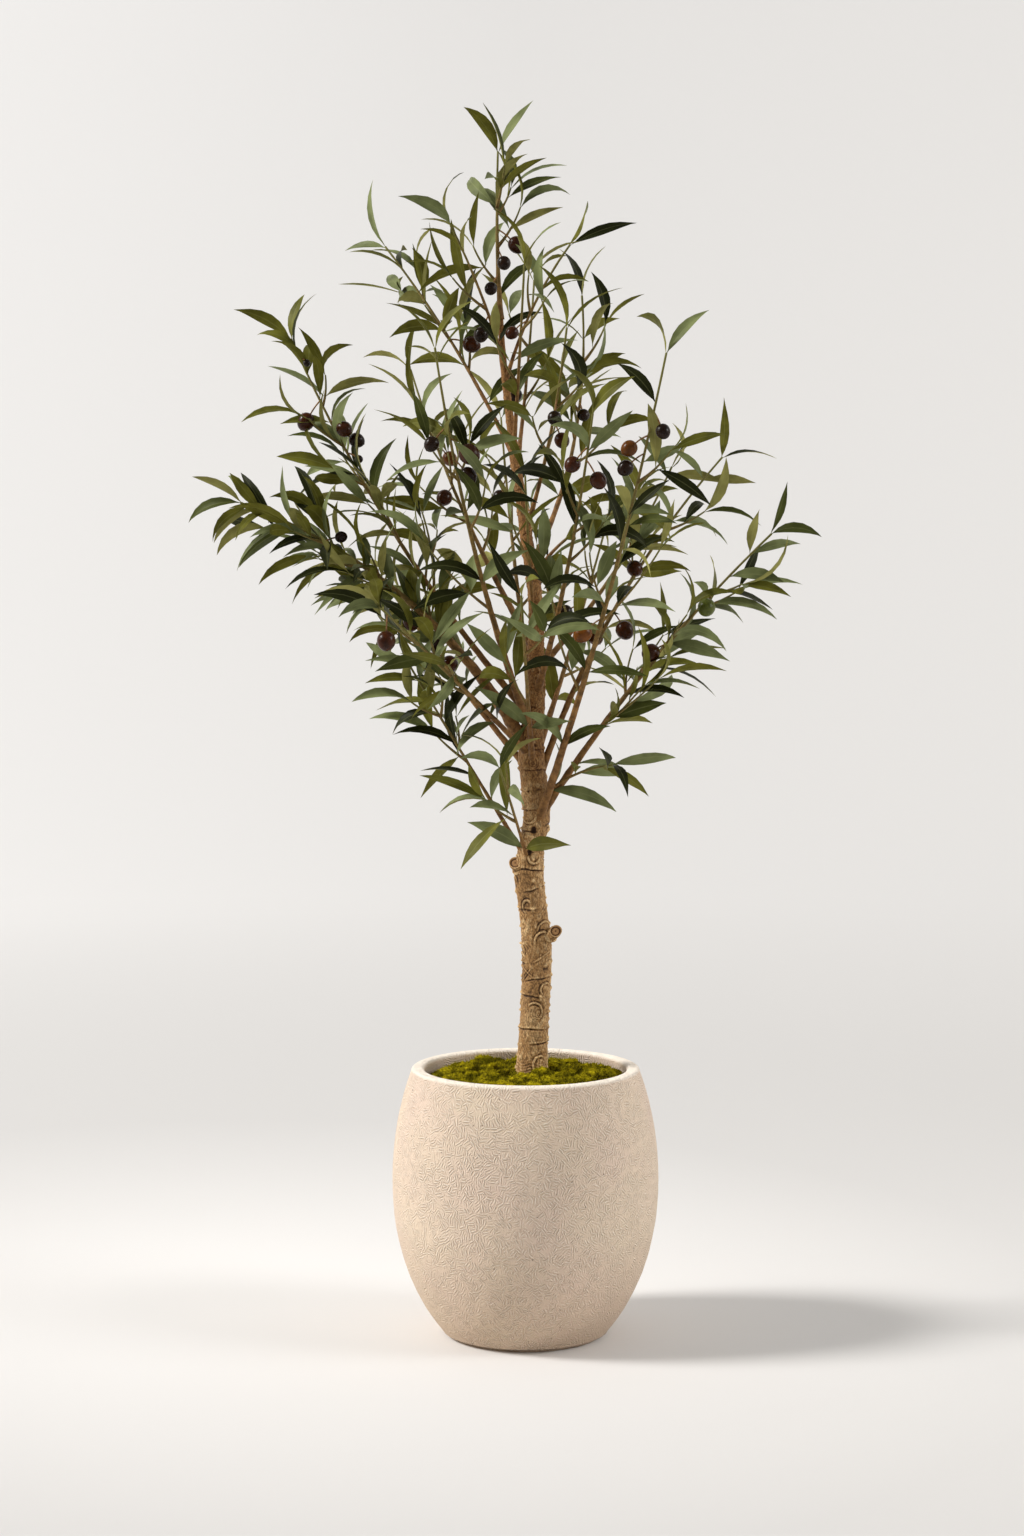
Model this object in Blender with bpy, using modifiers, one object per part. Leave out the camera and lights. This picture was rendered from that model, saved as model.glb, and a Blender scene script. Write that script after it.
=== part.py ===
"""Artificial olive tree with a moulded trunk, in a round stone-look pot topped with moss.

Metres, +Z up. The origin is the centre of the pot's flat underside, and -Y is the side seen from the front.
"""

import math
import random
from typing import NamedTuple

import bmesh
import bpy
from mathutils import Matrix, Vector
from mathutils.bvhtree import BVHTree

CLEAR = 0.0003  # gap between neighbouring solids
WALL_CLEAR = 0.0004  # the same gap, measured level, at the pot's sloping wall

# Pot: two elliptical arcs that meet at the belly
POT_HEIGHT = 0.331
BELLY_HEIGHT = 0.190
BELLY_RADIUS = 0.1636
FOOT_RADIUS = 0.0966
RIM_RADIUS = 0.1384
POT_WALL = 0.0162
POT_FLOOR = 0.025
LIP_ROUND = 0.0045
FOOT_ROUND = 0.004
POT_STEPS = 32

# Filling: a core that carries the trunk, and the moss on it
CORE_TOP = 0.300
MOSS_EDGE_TOP = 0.316
MOSS_RISE = 0.006
MOSS_BUMP = 0.0040
MOSS_RINGS = 7

# Trunk: height, sideways place and radius where its course bends, from the flat cut to the tip
TRUNK_FOOT = CORE_TOP + CLEAR
TRUNK_COURSE = (
    (TRUNK_FOOT, 0.0072, 0.0212),
    (0.315, 0.0072, 0.0202),
    (0.340, 0.0082, 0.0186),
    (0.400, 0.0115, 0.0175),
    (0.455, 0.0135, 0.0178),
    (0.500, 0.0120, 0.0174),
    (0.540, 0.0073, 0.0166),
    (0.580, 0.0052, 0.0166),
    (0.612, 0.0090, 0.0150),
    (0.640, 0.0125, 0.0150),
    (0.662, 0.0110, 0.0158),
    (0.700, 0.0090, 0.0146),
    (0.740, 0.0090, 0.0132),
    (0.785, 0.0122, 0.0112),
    (0.830, 0.0127, 0.0098),
    (0.880, 0.0130, 0.0091),
    (0.930, 0.0090, 0.0083),
    (0.966, 0.0029, 0.0076),
    (1.026, -0.0056, 0.0067),
    (1.074, -0.0129, 0.0057),
    (1.146, -0.0219, 0.0047),
    (1.194, -0.0274, 0.0040),
    (1.240, -0.0303, 0.0034),
)
TRUNK_WAVER = 0.005
TRUNK_WAVE_LENGTH = 0.37
WAVER_START = 0.315

# Limbs
LIMB_TIP_RADIUS = 0.0013
LIMB_TAPER = 1.6
LIMB_STEP = 0.060
BEND_GAP = 0.1  # what a bend adds to the gap at a bough's tip, as a share of its radius
TWIG_RADIUS = 0.0017
TWIG_STEP = 0.045
TWIG_LEAN = 42.0  # degrees off the stem, at a side twig's foot
TWIG_RISE = 0.55  # how far a side twig turns back towards the stem's direction
TWIG_SHARE = 0.34  # a side twig's length, as a share of the stem beyond it
TWIGS_FROM = 0.10  # shares of the stem's length that side twigs grow between
TWIGS_TO = 0.76
TWIG_SHIFT = 0.2
TWIG_TURN = 50.0
TWIG_SHORTEST = 0.055
TWIG_LONGEST = 0.125

# Leaves
LEAF_LENGTH = 0.078
LEAF_WIDTH = 0.0170
LEAF_THICKNESS = 0.0014
LEAF_WIDEST = 0.42
LEAF_ARCH = 0.09
PAIR_SPACING = 0.078
FIRST_PAIR = 0.020
TIP_SPREAD = 24.0  # degrees off the axis, of the leaves at a tip
LEAF_TRIES = 4
LEAF_ROLL = 60.0  # most that a leaf is turned about its length, in degrees
LEAF_MARGIN = 0.0016
LEAF_SPREAD = (42.0, 60.0)  # degrees off the axis
LEAF_DROOP = (0.05, 0.30)
LEAF_SIZES = (0.88, 1.10)
TIP_SIZE = 0.82  # a leaf's size at a twig's tip, as a share of that at its foot

# Olives
OLIVE_LENGTH = 0.0225
OLIVE_WIDTH = 0.0195
STALK_LENGTH = 0.017
STALK_RADIUS = 0.0010
OLIVE_TRIES = 8

SEED = 20

UP = Vector((0.0, 0.0, 1.0))


class Shoot(NamedTuple):
    """One limb of the crown. Angles are in degrees: azimuth from +X towards +Y, lean from the vertical."""

    name: str
    height: float
    azimuth: float
    lean_foot: float
    lean_tip: float
    length: float
    radius: float
    bare: float
    twigs: int
    olives: tuple = ()


class Stub(NamedTuple):
    """The cut end of a limb that was taken off the trunk."""

    height: float
    azimuth: float
    lean: float
    length: float
    radius: float


SHOOTS = (
    Shoot("low_left", 0.581, 203, 33, 32, 0.292, 0.0032, 0.30, 2),
    Shoot("low_left_twig", 0.577, 252, 40, 44, 0.175, 0.0026, 0.0, 1),
    Shoot("left", 0.708, 187, 27, 70, 0.482, 0.0090, 0.30, 4, (0.40,)),
    Shoot("left_under", 0.710, 233, 56, 58, 0.350, 0.0042, 0.22, 3, (0.55, 0.72)),
    Shoot("front_left", 0.735, 238, 35, 15, 0.510, 0.0055, 0.20, 3, (0.62,)),
    Shoot("left_long", 0.757, 170, 42, 24, 0.555, 0.0048, 0.24, 4, (0.66, 0.70, 0.82)),
    Shoot("back_low_left", 0.690, 148, 46, 40, 0.340, 0.0045, 0.22, 3, (0.6,)),
    Shoot("top_left", 1.072, 152, 28, 41, 0.320, 0.0030, 0.22, 3, (0.45,)),
    Shoot("crown_left", 1.190, 232, 25, 41, 0.185, 0.0024, 0.0, 1, (0.35,)),
    Shoot("crown_right", 1.165, 318, 20, 46, 0.190, 0.0024, 0.0, 1, (0.6, 0.75)),
    Shoot("back_right", 0.946, 55, 45, -8, 0.360, 0.0040, 0.26, 3, (0.45, 0.62)),
    Shoot("front_right", 0.618, 304, 31, 19, 0.628, 0.0056, 0.18, 4, (0.50, 0.78, 0.84)),
    Shoot("right_mid", 0.668, 26, 20, 45, 0.490, 0.0048, 0.24, 3, (0.52,)),
    Shoot("right", 0.630, 350, 32, 46, 0.455, 0.0052, 0.18, 4, (0.5, 0.78)),
    Shoot("thin_right", 0.930, 330, 35, 78, 0.150, 0.0024, 0.0, 0),
    Shoot("low_right", 0.655, 326, 46, 84, 0.125, 0.0024, 0.0, 0),
    Shoot("centre", 0.845, 262, 36, 16, 0.230, 0.0028, 0.0, 1),
    Shoot("front_low", 0.700, 266, 50, 40, 0.300, 0.0042, 0.20, 2, (0.7,)),
    Shoot("front", 0.785, 287, 44, 22, 0.400, 0.0045, 0.20, 3, (0.55, 0.72)),
    Shoot("front_mid", 0.985, 292, 40, 16, 0.270, 0.0032, 0.20, 2, (0.6,)),
    Shoot("upper_front", 1.085, 276, 34, 24, 0.240, 0.0028, 0.20, 2, (0.5, 0.62)),
    Shoot("upper_back", 1.060, 80, 36, 20, 0.270, 0.0030, 0.20, 2, (0.5,)),
    Shoot("back", 0.765, 100, 42, 24, 0.440, 0.0048, 0.20, 4, (0.5, 0.8)),
    Shoot("back_left", 0.840, 130, 44, 26, 0.430, 0.0046, 0.20, 4, (0.6, 0.75)),
    Shoot("back_low", 0.700, 68, 44, 38, 0.400, 0.0046, 0.20, 3, (0.6,)),
    Shoot("back_right_low", 0.815, 36, 50, 30, 0.330, 0.0042, 0.20, 2, (0.6,)),
)
LEADER = Shoot("leader", 0.0, 0.0, 0.0, 0.0, 0.199, 0.0034, 0.0, 3, (0.12, 0.3))
STUBS = (
    Stub(0.478, 325, 52, 0.037, 0.0074),
    Stub(0.556, 205, 36, 0.036, 0.0070),
)


def clear_scene():
    for obj in list(bpy.data.objects):
        bpy.data.objects.remove(obj, do_unlink=True)


def new_collection(name):
    collection = bpy.data.collections.new(name)
    bpy.context.scene.collection.children.link(collection)
    return collection


def new_material(name, colour, roughness):
    material = bpy.data.materials.new(name)
    material.use_nodes = True
    shader = material.node_tree.nodes["Principled BSDF"]
    shader.inputs["Base Color"].default_value = (*colour, 1.0)
    shader.inputs["Roughness"].default_value = roughness
    shader.inputs["Metallic"].default_value = 0.0
    return material


def new_object(name, mesh, collection, material=None):
    obj = bpy.data.objects.new(name, mesh)
    collection.objects.link(obj)
    if material:
        mesh.materials.clear()
        mesh.materials.append(material)
    return obj


def mesh_of(bm, name):
    """The closed surface as a mesh with its faces pointing out."""
    bmesh.ops.recalc_face_normals(bm, faces=bm.faces[:])
    if bm.calc_volume(signed=True) < 0.0:
        bmesh.ops.reverse_faces(bm, faces=bm.faces[:])
    mesh = bpy.data.meshes.new(name)
    bm.to_mesh(mesh)
    bm.free()
    return mesh


def evaluated_mesh(obj):
    bpy.context.view_layer.update()
    graph = bpy.context.evaluated_depsgraph_get()
    return bpy.data.meshes.new_from_object(obj.evaluated_get(graph))


def remove_with_data(obj):
    data = obj.data
    store = bpy.data.curves if obj.type == "CURVE" else bpy.data.meshes
    bpy.data.objects.remove(obj, do_unlink=True)
    store.remove(data)


def turned(name, profile, collection, material):
    """A profile of (radius, height) that runs down the outer side, turned about the Z axis."""
    mesh = bpy.data.meshes.new(name)
    points = [(radius, 0.0, height) for radius, height in profile]
    edges = [(i, i + 1) for i in range(len(points) - 1)]
    mesh.from_pydata(points, edges, [])
    obj = new_object(name, mesh, collection, material)
    screw = obj.modifiers.new("Turn", "SCREW")
    screw.axis = "Z"
    screw.angle = math.tau
    screw.steps = POT_STEPS
    screw.render_steps = POT_STEPS
    screw.use_merge_vertices = True
    screw.merge_threshold = 0.00001
    screw.use_smooth_shade = True
    return obj


def pot_radius(height):
    """Outer radius of the pot: an ellipse's arc below the belly and another above it."""
    end_height = 0.0 if height < BELLY_HEIGHT else POT_HEIGHT
    end_radius = FOOT_RADIUS if height < BELLY_HEIGHT else RIM_RADIUS
    end_share = math.sqrt(1.0 - (end_radius / BELLY_RADIUS) ** 2)
    share = end_share * (height - BELLY_HEIGHT) / (end_height - BELLY_HEIGHT)
    return BELLY_RADIUS * math.sqrt(1.0 - share**2)


def heights(low, high, count):
    return [low + (high - low) * i / (count - 1) for i in range(count)]


BORE_HEIGHTS = heights(POT_FLOOR, POT_HEIGHT - LIP_ROUND, 7)


def bore_radius(height):
    """Inner radius of the pot, on the straight lines between the heights where its profile bends."""
    for low, high in zip(BORE_HEIGHTS, BORE_HEIGHTS[1:]):
        if height <= high:
            break
    share = (height - low) / (high - low)
    return pot_radius(low) * (1.0 - share) + pot_radius(high) * share - POT_WALL


def build_pot(collection, material):
    bore = [(bore_radius(z), z) for z in BORE_HEIGHTS]
    side = [(pot_radius(z), z) for z in heights(POT_HEIGHT - LIP_ROUND, FOOT_ROUND, 10)]
    inner_edge = bore_radius(POT_HEIGHT - LIP_ROUND)
    lip = [(inner_edge + LIP_ROUND, POT_HEIGHT), (RIM_RADIUS - LIP_ROUND, POT_HEIGHT)]
    foot = [(FOOT_RADIUS - FOOT_ROUND, 0.0), (0.0, 0.0)]
    return turned("pot", [(0.0, POT_FLOOR)] + bore + lip + side + foot, collection, material)


def build_core(collection, material):
    low = POT_FLOOR + CLEAR
    bends = [z for z in reversed(BORE_HEIGHTS) if low < z < CORE_TOP]
    side = [(bore_radius(z) - WALL_CLEAR, z) for z in (CORE_TOP, *bends, low)]
    return turned("potting_core", [(0.0, CORE_TOP)] + side + [(0.0, low)], collection, material)


def moss_bumps(x, y):
    """Height of the moss's clumps over its even surface, between -1 and 1."""
    wide = math.sin(118.0 * x + 1.3) * math.sin(131.0 * y + 0.4)
    fine = math.sin(231.0 * x - 97.0 * y + 2.1)
    return 0.62 * wide + 0.38 * fine


def build_moss(collection, material, trunk_cutter):
    low = CORE_TOP + CLEAR
    edge = bore_radius(MOSS_EDGE_TOP) - WALL_CLEAR
    rings = [edge * i / MOSS_RINGS for i in range(MOSS_RINGS + 1)]
    top = [(r, MOSS_EDGE_TOP + MOSS_RISE * (1.0 - (r / edge) ** 2)) for r in rings]
    low_edge = bore_radius(low) - WALL_CLEAR
    guide = turned("moss_guide", top + [(low_edge, low), (0.0, low)], collection, None)
    mesh = evaluated_mesh(guide)
    remove_with_data(guide)
    for vertex in mesh.vertices:
        if vertex.co.z > low + 0.001:
            share = math.hypot(vertex.co.x, vertex.co.y) / edge
            vertex.co.z += MOSS_BUMP * (1.0 - share**6) * moss_bumps(vertex.co.x, vertex.co.y)
    moss = new_object("moss_bed", mesh, collection, material)
    cut = moss.modifiers.new("Trunk hole", "BOOLEAN")
    cut.operation = "DIFFERENCE"
    cut.object = trunk_cutter
    return moss


def tube(name, points, radii, sides, collection, material=None):
    """A tapering limb: a poly curve with a round or three-sided section and filled caps, as a mesh."""
    curve = bpy.data.curves.new(name, "CURVE")
    curve.dimensions = "3D"
    curve.use_fill_caps = True
    spline = curve.splines.new("POLY")
    spline.points.add(len(points) - 1)
    for slot, point, radius in zip(spline.points, points, radii):
        slot.co = (*point, 1.0)
        slot.radius = radius
    section = None
    if sides == 3:
        section = three_sided_section(collection)
        curve.bevel_mode = "OBJECT"
        curve.bevel_object = section
    else:
        curve.bevel_depth = 1.0
        curve.bevel_resolution = (sides - 4) // 2
    guide = bpy.data.objects.new(name, curve)
    collection.objects.link(guide)
    mesh = evaluated_mesh(guide)
    remove_with_data(guide)
    if section:
        remove_with_data(section)
    bm = bmesh.new()
    bm.from_mesh(mesh)
    bpy.data.meshes.remove(mesh)
    bmesh.ops.remove_doubles(bm, verts=bm.verts[:], dist=0.00001)
    return new_object(name, mesh_of(bm, name), collection, material)


def three_sided_section(collection):
    curve = bpy.data.curves.new("section", "CURVE")
    curve.dimensions = "2D"
    spline = curve.splines.new("POLY")
    spline.points.add(2)
    for i, slot in enumerate(spline.points):
        angle = math.tau * i / 3.0
        slot.co = (math.cos(angle), math.sin(angle), 0.0, 1.0)
    spline.use_cyclic_u = True
    section = bpy.data.objects.new("section", curve)
    collection.objects.link(section)
    section.hide_render = True
    return section


def unite(obj, others):
    """Joins a collection's objects to obj, then drops those objects, loose scraps and sealed hollows."""
    join = obj.modifiers.new("Join", "BOOLEAN")
    join.operation = "UNION"
    join.operand_type = "COLLECTION"
    join.collection = others
    join.solver = "MANIFOLD"
    mesh = evaluated_mesh(obj)
    obj.modifiers.remove(join)
    for other in list(others.objects):
        remove_with_data(other)
    bpy.data.collections.remove(others)
    swap_mesh(obj, largest_shell(mesh))


def cut_by(obj, cutter):
    cut = obj.modifiers.new("Cut", "BOOLEAN")
    cut.operation = "DIFFERENCE"
    cut.object = cutter
    mesh = evaluated_mesh(obj)
    obj.modifiers.remove(cut)
    swap_mesh(obj, largest_shell(mesh))


def swap_mesh(obj, mesh):
    old = obj.data
    obj.data = mesh
    bpy.data.meshes.remove(old)


def largest_shell(mesh):
    """The mesh with only its largest shell of faces that share edges."""
    bm = bmesh.new()
    bm.from_mesh(mesh)
    left = set(bm.faces)
    shells = []
    while left:
        stack = [left.pop()]
        shell = list(stack)
        while stack:
            for edge in stack.pop().edges:
                for face in edge.link_faces:
                    if face in left:
                        left.remove(face)
                        stack.append(face)
                        shell.append(face)
        shells.append(shell)
    shells.sort(key=len)
    for shell in shells[:-1]:
        bmesh.ops.delete(bm, geom=shell, context="FACES")
    bm.to_mesh(mesh)
    bm.free()
    return mesh


def trunk_waver(height):
    return TRUNK_WAVER * math.sin(math.tau * max(0.0, height - WAVER_START) / TRUNK_WAVE_LENGTH)


def trunk_axis(height):
    """The point of the trunk's axis at this height."""
    for (z0, x0, _), (z1, x1, _) in zip(TRUNK_COURSE, TRUNK_COURSE[1:]):
        if height <= z1:
            break
    share = (height - z0) / (z1 - z0)
    return Vector((x0 + (x1 - x0) * share, trunk_waver(height), height))


def direction(azimuth, lean):
    a = math.radians(azimuth)
    b = math.radians(lean)
    return Vector((math.sin(b) * math.cos(a), math.sin(b) * math.sin(a), math.cos(b)))


def build_trunk(name, grown, collection, material):
    """The trunk with its cut stubs. Grown by its neighbours' gap, and run on below, it cuts them."""
    points = [Vector((x, trunk_waver(z), z)) for z, x, _ in TRUNK_COURSE]
    radii = [radius + grown for _, _, radius in TRUNK_COURSE]
    if grown:
        points.insert(0, points[0] - UP * 0.01)
        radii.insert(0, radii[0])
    trunk = tube(name, points, radii, 12, collection, material)
    stubs = bpy.data.collections.new(name + "_stubs")
    bpy.context.scene.collection.children.link(stubs)
    for i, stub in enumerate(STUBS):
        foot = trunk_axis(stub.height)
        tip = foot + direction(stub.azimuth, stub.lean) * (stub.length + grown)
        width = stub.radius + grown
        tube(f"{name}_stub_{i}", [foot, tip], [1.15 * width, width], 8, stubs)
    unite(trunk, stubs)
    return trunk


class Stem:
    """A curved axis with a radius at each point, and what share of the way along it a length is."""

    def __init__(self, points, radii):
        self.points = points
        self.radii = radii
        self.lengths = [0.0]
        for a, b in zip(points, points[1:]):
            self.lengths.append(self.lengths[-1] + (b - a).length)
        self.length = self.lengths[-1]

    def at(self, distance):
        """(point, direction, radius) at this distance from the foot."""
        last = len(self.points) - 2
        i = 0
        while i < last and self.lengths[i + 1] < distance:
            i += 1
        a, b = self.points[i], self.points[i + 1]
        share = (distance - self.lengths[i]) / (b - a).length
        radius = self.radii[i] + (self.radii[i + 1] - self.radii[i]) * share
        return a.lerp(b, share), (b - a).normalized(), radius


def shoot_axis(shoot, low, high):
    """A shoot's axis between two shares of its length. Its lean changes evenly from foot to tip."""
    fine = 64
    point = trunk_axis(shoot.height)
    course = [point]
    for i in range(fine):
        lean = shoot.lean_foot + (shoot.lean_tip - shoot.lean_foot) * (i + 0.5) / fine
        point = point + direction(shoot.azimuth, lean) * (shoot.length / fine)
        course.append(point)
    whole = Stem(course, [0.0] * (fine + 1))
    count = max(2, round(shoot.length * (high - low) / LIMB_STEP) + 1)
    shares = heights(low, high, count)
    points = [whole.at(share * shoot.length)[0] for share in shares]
    return Stem(points, [limb_radius(shoot, share) for share in shares])


def limb_radius(shoot, share):
    left = max(0.0, 1.0 - share)
    return LIMB_TIP_RADIUS + (shoot.radius - LIMB_TIP_RADIUS) * left**LIMB_TAPER


def leader_axis():
    """The top shoot's axis, which runs on from the trunk's tip."""
    foot = trunk_axis(TRUNK_COURSE[-1][0])
    below = trunk_axis(TRUNK_COURSE[-2][0])
    ahead = (foot - below).normalized()
    count = round(LEADER.length / LIMB_STEP) + 1
    points = []
    for i, distance in enumerate(heights(CLEAR, LEADER.length, count)):
        straight = foot + ahead * distance
        points.append(straight.lerp(foot + UP * distance, i / count))
    shares = heights(0.0, 1.0, count)
    return Stem(points, [limb_radius(LEADER, share) for share in shares])


def side_frame(axis, turn):
    """A unit vector square to the axis, turned about it in radians from the most upright one."""
    out = UP - axis * axis.dot(UP)
    if out.length < 0.05:
        out = Vector((1.0, 0.0, 0.0)) - axis * axis.x
    return Matrix.Rotation(turn, 3, axis) @ out.normalized()


def side_twig(stem, distance, turn, length):
    """A twig that leaves the stem at an angle and curves back towards the stem's own direction."""
    point, axis, _ = stem.at(distance)
    out = side_frame(axis, turn)
    lean = math.radians(TWIG_LEAN)
    count = max(2, round(length / TWIG_STEP) + 1)
    step = length / (count - 1)
    points = [point]
    for i in range(count - 1):
        angle = lean * (1.0 - TWIG_RISE * i / (count - 1))
        point = point + (axis * math.cos(angle) + out * math.sin(angle)) * step
        points.append(point)
    foot, tip = TWIG_RADIUS, LIMB_TIP_RADIUS * 0.85
    return Stem(points, heights(foot, tip, count))


def leaf_mesh(name, foot, ahead, face, length, width, thickness):
    """A leaf of eight faces: a four-sided sphere drawn out to its length and bent down at both ends."""
    bm = bmesh.new()
    bmesh.ops.create_uvsphere(bm, u_segments=4, v_segments=2, radius=1.0)
    across = ahead.cross(face).normalized()
    for vertex in bm.verts:
        side, rise, along = vertex.co
        reach = LEAF_WIDEST + along * (1.0 - LEAF_WIDEST if along > 0.0 else LEAF_WIDEST)
        lift = rise * thickness / 2.0 + LEAF_ARCH * length * (1.0 - along * along)
        vertex.co = foot + ahead * (length * reach) + across * (side * width / 2.0) + face * lift
    return mesh_of(bm, name)


def leaf_pose(axis, turn, spread, roll, droop):
    """(direction, face normal) of a leaf on an axis: its face looks up and towards the axis's tip."""
    out = side_frame(axis, turn)
    ahead = axis * math.cos(spread) + out * math.sin(spread)
    ahead = (ahead - UP * droop).normalized()
    face = axis + UP * 0.4
    face = (face - ahead * face.dot(ahead)).normalized()
    return ahead, Matrix.Rotation(roll, 3, ahead) @ face


class Space:
    """Everything placed so far, so that a new leaf or twig can be tried against it."""

    def __init__(self):
        self.items = []

    def add(self, mesh, owner, mass=None):
        tree, centre, radius = searchable(mesh)
        self.items.append((tree, centre, radius, owner, mass or owner))

    def free(self, mesh, owner, mass=None):
        """True if the mesh touches nothing but its owner, or nothing but its own mass."""
        tree, centre, radius = searchable(mesh)
        for other, middle, reach, holder, family in self.items:
            if holder == owner or family == mass or (centre - middle).length > radius + reach:
                continue
            if tree.overlap(other):
                return False
        return True


def searchable(mesh):
    points = [vertex.co.copy() for vertex in mesh.vertices]
    centre = sum(points, Vector()) / len(points)
    radius = max((point - centre).length for point in points)
    faces = [tuple(polygon.vertices) for polygon in mesh.polygons]
    return BVHTree.FromPolygons(points, faces), centre, radius


class Mass:
    """One mass of foliage while it grows: its stem, and the pieces that are joined to it at the end."""

    def __init__(self, shoot, stem, obj):
        self.shoot = shoot
        self.stem = stem
        self.obj = obj
        self.pieces = new_collection("pieces_" + shoot.name)
        self.twigs = [(stem, shoot.name)]
        self.leaves = 0

    def piece(self, mesh):
        obj = new_object(mesh.name, mesh, self.pieces)
        obj.hide_render = True
        obj.display_type = "WIRE"


def grow_twigs(mass, space, rng):
    """Side twigs, in turn on either side of the stem, longer towards its foot."""
    shoot, stem = mass.shoot, mass.stem
    for i in range(shoot.twigs):
        share = (i + 0.5 + TWIG_SHIFT * rng.uniform(-1.0, 1.0)) / shoot.twigs
        distance = stem.length * (TWIGS_FROM + (TWIGS_TO - TWIGS_FROM) * share)
        length = min(TWIG_LONGEST, max(TWIG_SHORTEST, TWIG_SHARE * (stem.length - distance)))
        turn = math.radians(90.0 + 180.0 * (i % 2) + rng.uniform(-TWIG_TURN, TWIG_TURN))
        twig = side_twig(stem, distance, turn, length)
        name = f"{shoot.name}_twig_{i}"
        obj = tube(name, twig.points, twig.radii, 3, mass.pieces)
        if space.free(obj.data, shoot.name):
            space.add(obj.data, name, shoot.name)
            mass.twigs.append((twig, name))
        else:
            remove_with_data(obj)


def try_leaf(mass, twig, owner, space, rng, distance, turn, spread):
    """Puts a leaf at this place on the twig, or skips it where none of a few poses is free."""
    point, axis, radius = twig.at(distance)
    size = 1.0 + (TIP_SIZE - 1.0) * distance / twig.length
    for attempt in range(LEAF_TRIES):
        jitter = 14.0 + 10.0 * attempt
        swing = math.radians(rng.uniform(-jitter, jitter))
        open_angle = math.radians(spread + rng.uniform(-0.6, 0.6) * jitter)
        roll = math.radians(rng.uniform(-LEAF_ROLL, LEAF_ROLL))
        ahead, face = leaf_pose(axis, turn + swing, open_angle, roll, rng.uniform(*LEAF_DROOP))
        length = LEAF_LENGTH * size * rng.uniform(*LEAF_SIZES)
        foot = point - ahead * (0.2 * radius)
        start = point + ahead * (radius + 0.004)
        margin = 2.0 * LEAF_MARGIN
        room = leaf_mesh("room", start, ahead, face, length, LEAF_WIDTH + margin, margin)
        name = f"{mass.shoot.name}_leaf_{mass.leaves}"
        mesh = leaf_mesh(name, foot, ahead, face, length, LEAF_WIDTH, LEAF_THICKNESS)
        fits = space.free(room, owner) and space.free(mesh, owner, mass.shoot.name)
        if fits:
            space.add(mesh, name, mass.shoot.name)
            mass.piece(mesh)
            mass.leaves += 1
        else:
            bpy.data.meshes.remove(mesh)
        bpy.data.meshes.remove(room)
        if fits:
            return


def grow_leaves(mass, space, rng):
    """Leaves in pairs, each pair turned a quarter from the last, and a pair that opens at each tip."""
    for twig, owner in mass.twigs:
        turn = rng.uniform(0.0, math.pi)
        first = FIRST_PAIR if twig is mass.stem else 0.6 * PAIR_SPACING
        pairs = max(1, round((twig.length - first) / PAIR_SPACING))
        for i in range(pairs):
            distance = first + (twig.length - 0.004 - first) * i / pairs
            for half_turn in (0.0, math.pi):
                spread = rng.uniform(*LEAF_SPREAD)
                try_leaf(mass, twig, owner, space, rng, distance, turn + half_turn, spread)
            turn += math.pi / 2.0
        tip = twig.length - 0.002
        for half_turn in (0.0, math.pi) if twig is mass.stem else (0.0,):
            try_leaf(mass, twig, owner, space, rng, tip, math.pi / 2.0 + half_turn, TIP_SPREAD)


def olive_mesh(name, centre):
    bm = bmesh.new()
    bmesh.ops.create_uvsphere(bm, u_segments=6, v_segments=3, radius=0.5)
    for vertex in bm.verts:
        x, y, z = vertex.co
        vertex.co = centre + Vector((x * OLIVE_WIDTH, y * OLIVE_WIDTH, z * OLIVE_LENGTH))
    return mesh_of(bm, name)


def grow_olives(mass, space, rng):
    """Olives on short stalks that leave the stem sideways and hang."""
    for i, share in enumerate(mass.shoot.olives):
        distance = max(0.0, share - mass.shoot.bare) / (1.0 - mass.shoot.bare) * mass.stem.length
        point, axis, radius = mass.stem.at(distance)
        name = f"{mass.shoot.name}_olive_{i}"
        for _ in range(OLIVE_TRIES):
            out = side_frame(axis, rng.uniform(0.0, math.tau))
            ahead = (out * 0.9 - UP * 0.45).normalized()
            end = point + ahead * (radius + STALK_LENGTH)
            centre = end + ahead * (0.4 * OLIVE_WIDTH)
            olive = olive_mesh(name, centre)
            room = leaf_mesh("room", point + ahead * 0.005, ahead, UP, STALK_LENGTH, 0.006, 0.006)
            if not (space.free(olive, None) and space.free(room, mass.shoot.name)):
                bpy.data.meshes.remove(olive)
                continue
            points = [point - ahead * (0.2 * radius), centre]
            tube(name + "_stalk", points, [STALK_RADIUS] * 2, 3, mass.pieces)
            space.add(olive, name, mass.shoot.name)
            mass.piece(olive)
            break


def build_bough(shoot, collection, material, cutter):
    stem = shoot_axis(shoot, 0.0, shoot.bare)
    bough = tube("bough_" + shoot.name, stem.points, stem.radii, 6, collection, material)
    cut_by(bough, cutter)
    return bough


def start_mass(shoot, collection, material, cutter):
    """A mass's stem, which runs on from a bough's tip or the trunk's tip, or stands at the trunk."""
    name = "foliage_" + shoot.name
    if shoot is LEADER:
        stem = leader_axis()
    else:
        gap = CLEAR + BEND_GAP * limb_radius(shoot, shoot.bare) if shoot.bare else 0.0
        stem = shoot_axis(shoot, shoot.bare + gap / shoot.length, 1.0)
    obj = tube(name, stem.points, stem.radii, 3, collection, material)
    if shoot is not LEADER and not shoot.bare:
        cut_by(obj, cutter)
        stem = without_foot(stem, trunk_radius(shoot.height) / math.sin(math.radians(shoot.lean_foot)))
    return Mass(shoot, stem, obj)


def trunk_radius(height):
    for (z0, _, r0), (z1, _, r1) in zip(TRUNK_COURSE, TRUNK_COURSE[1:]):
        if height <= z1:
            break
    return r0 + (r1 - r0) * (height - z0) / (z1 - z0)


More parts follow.
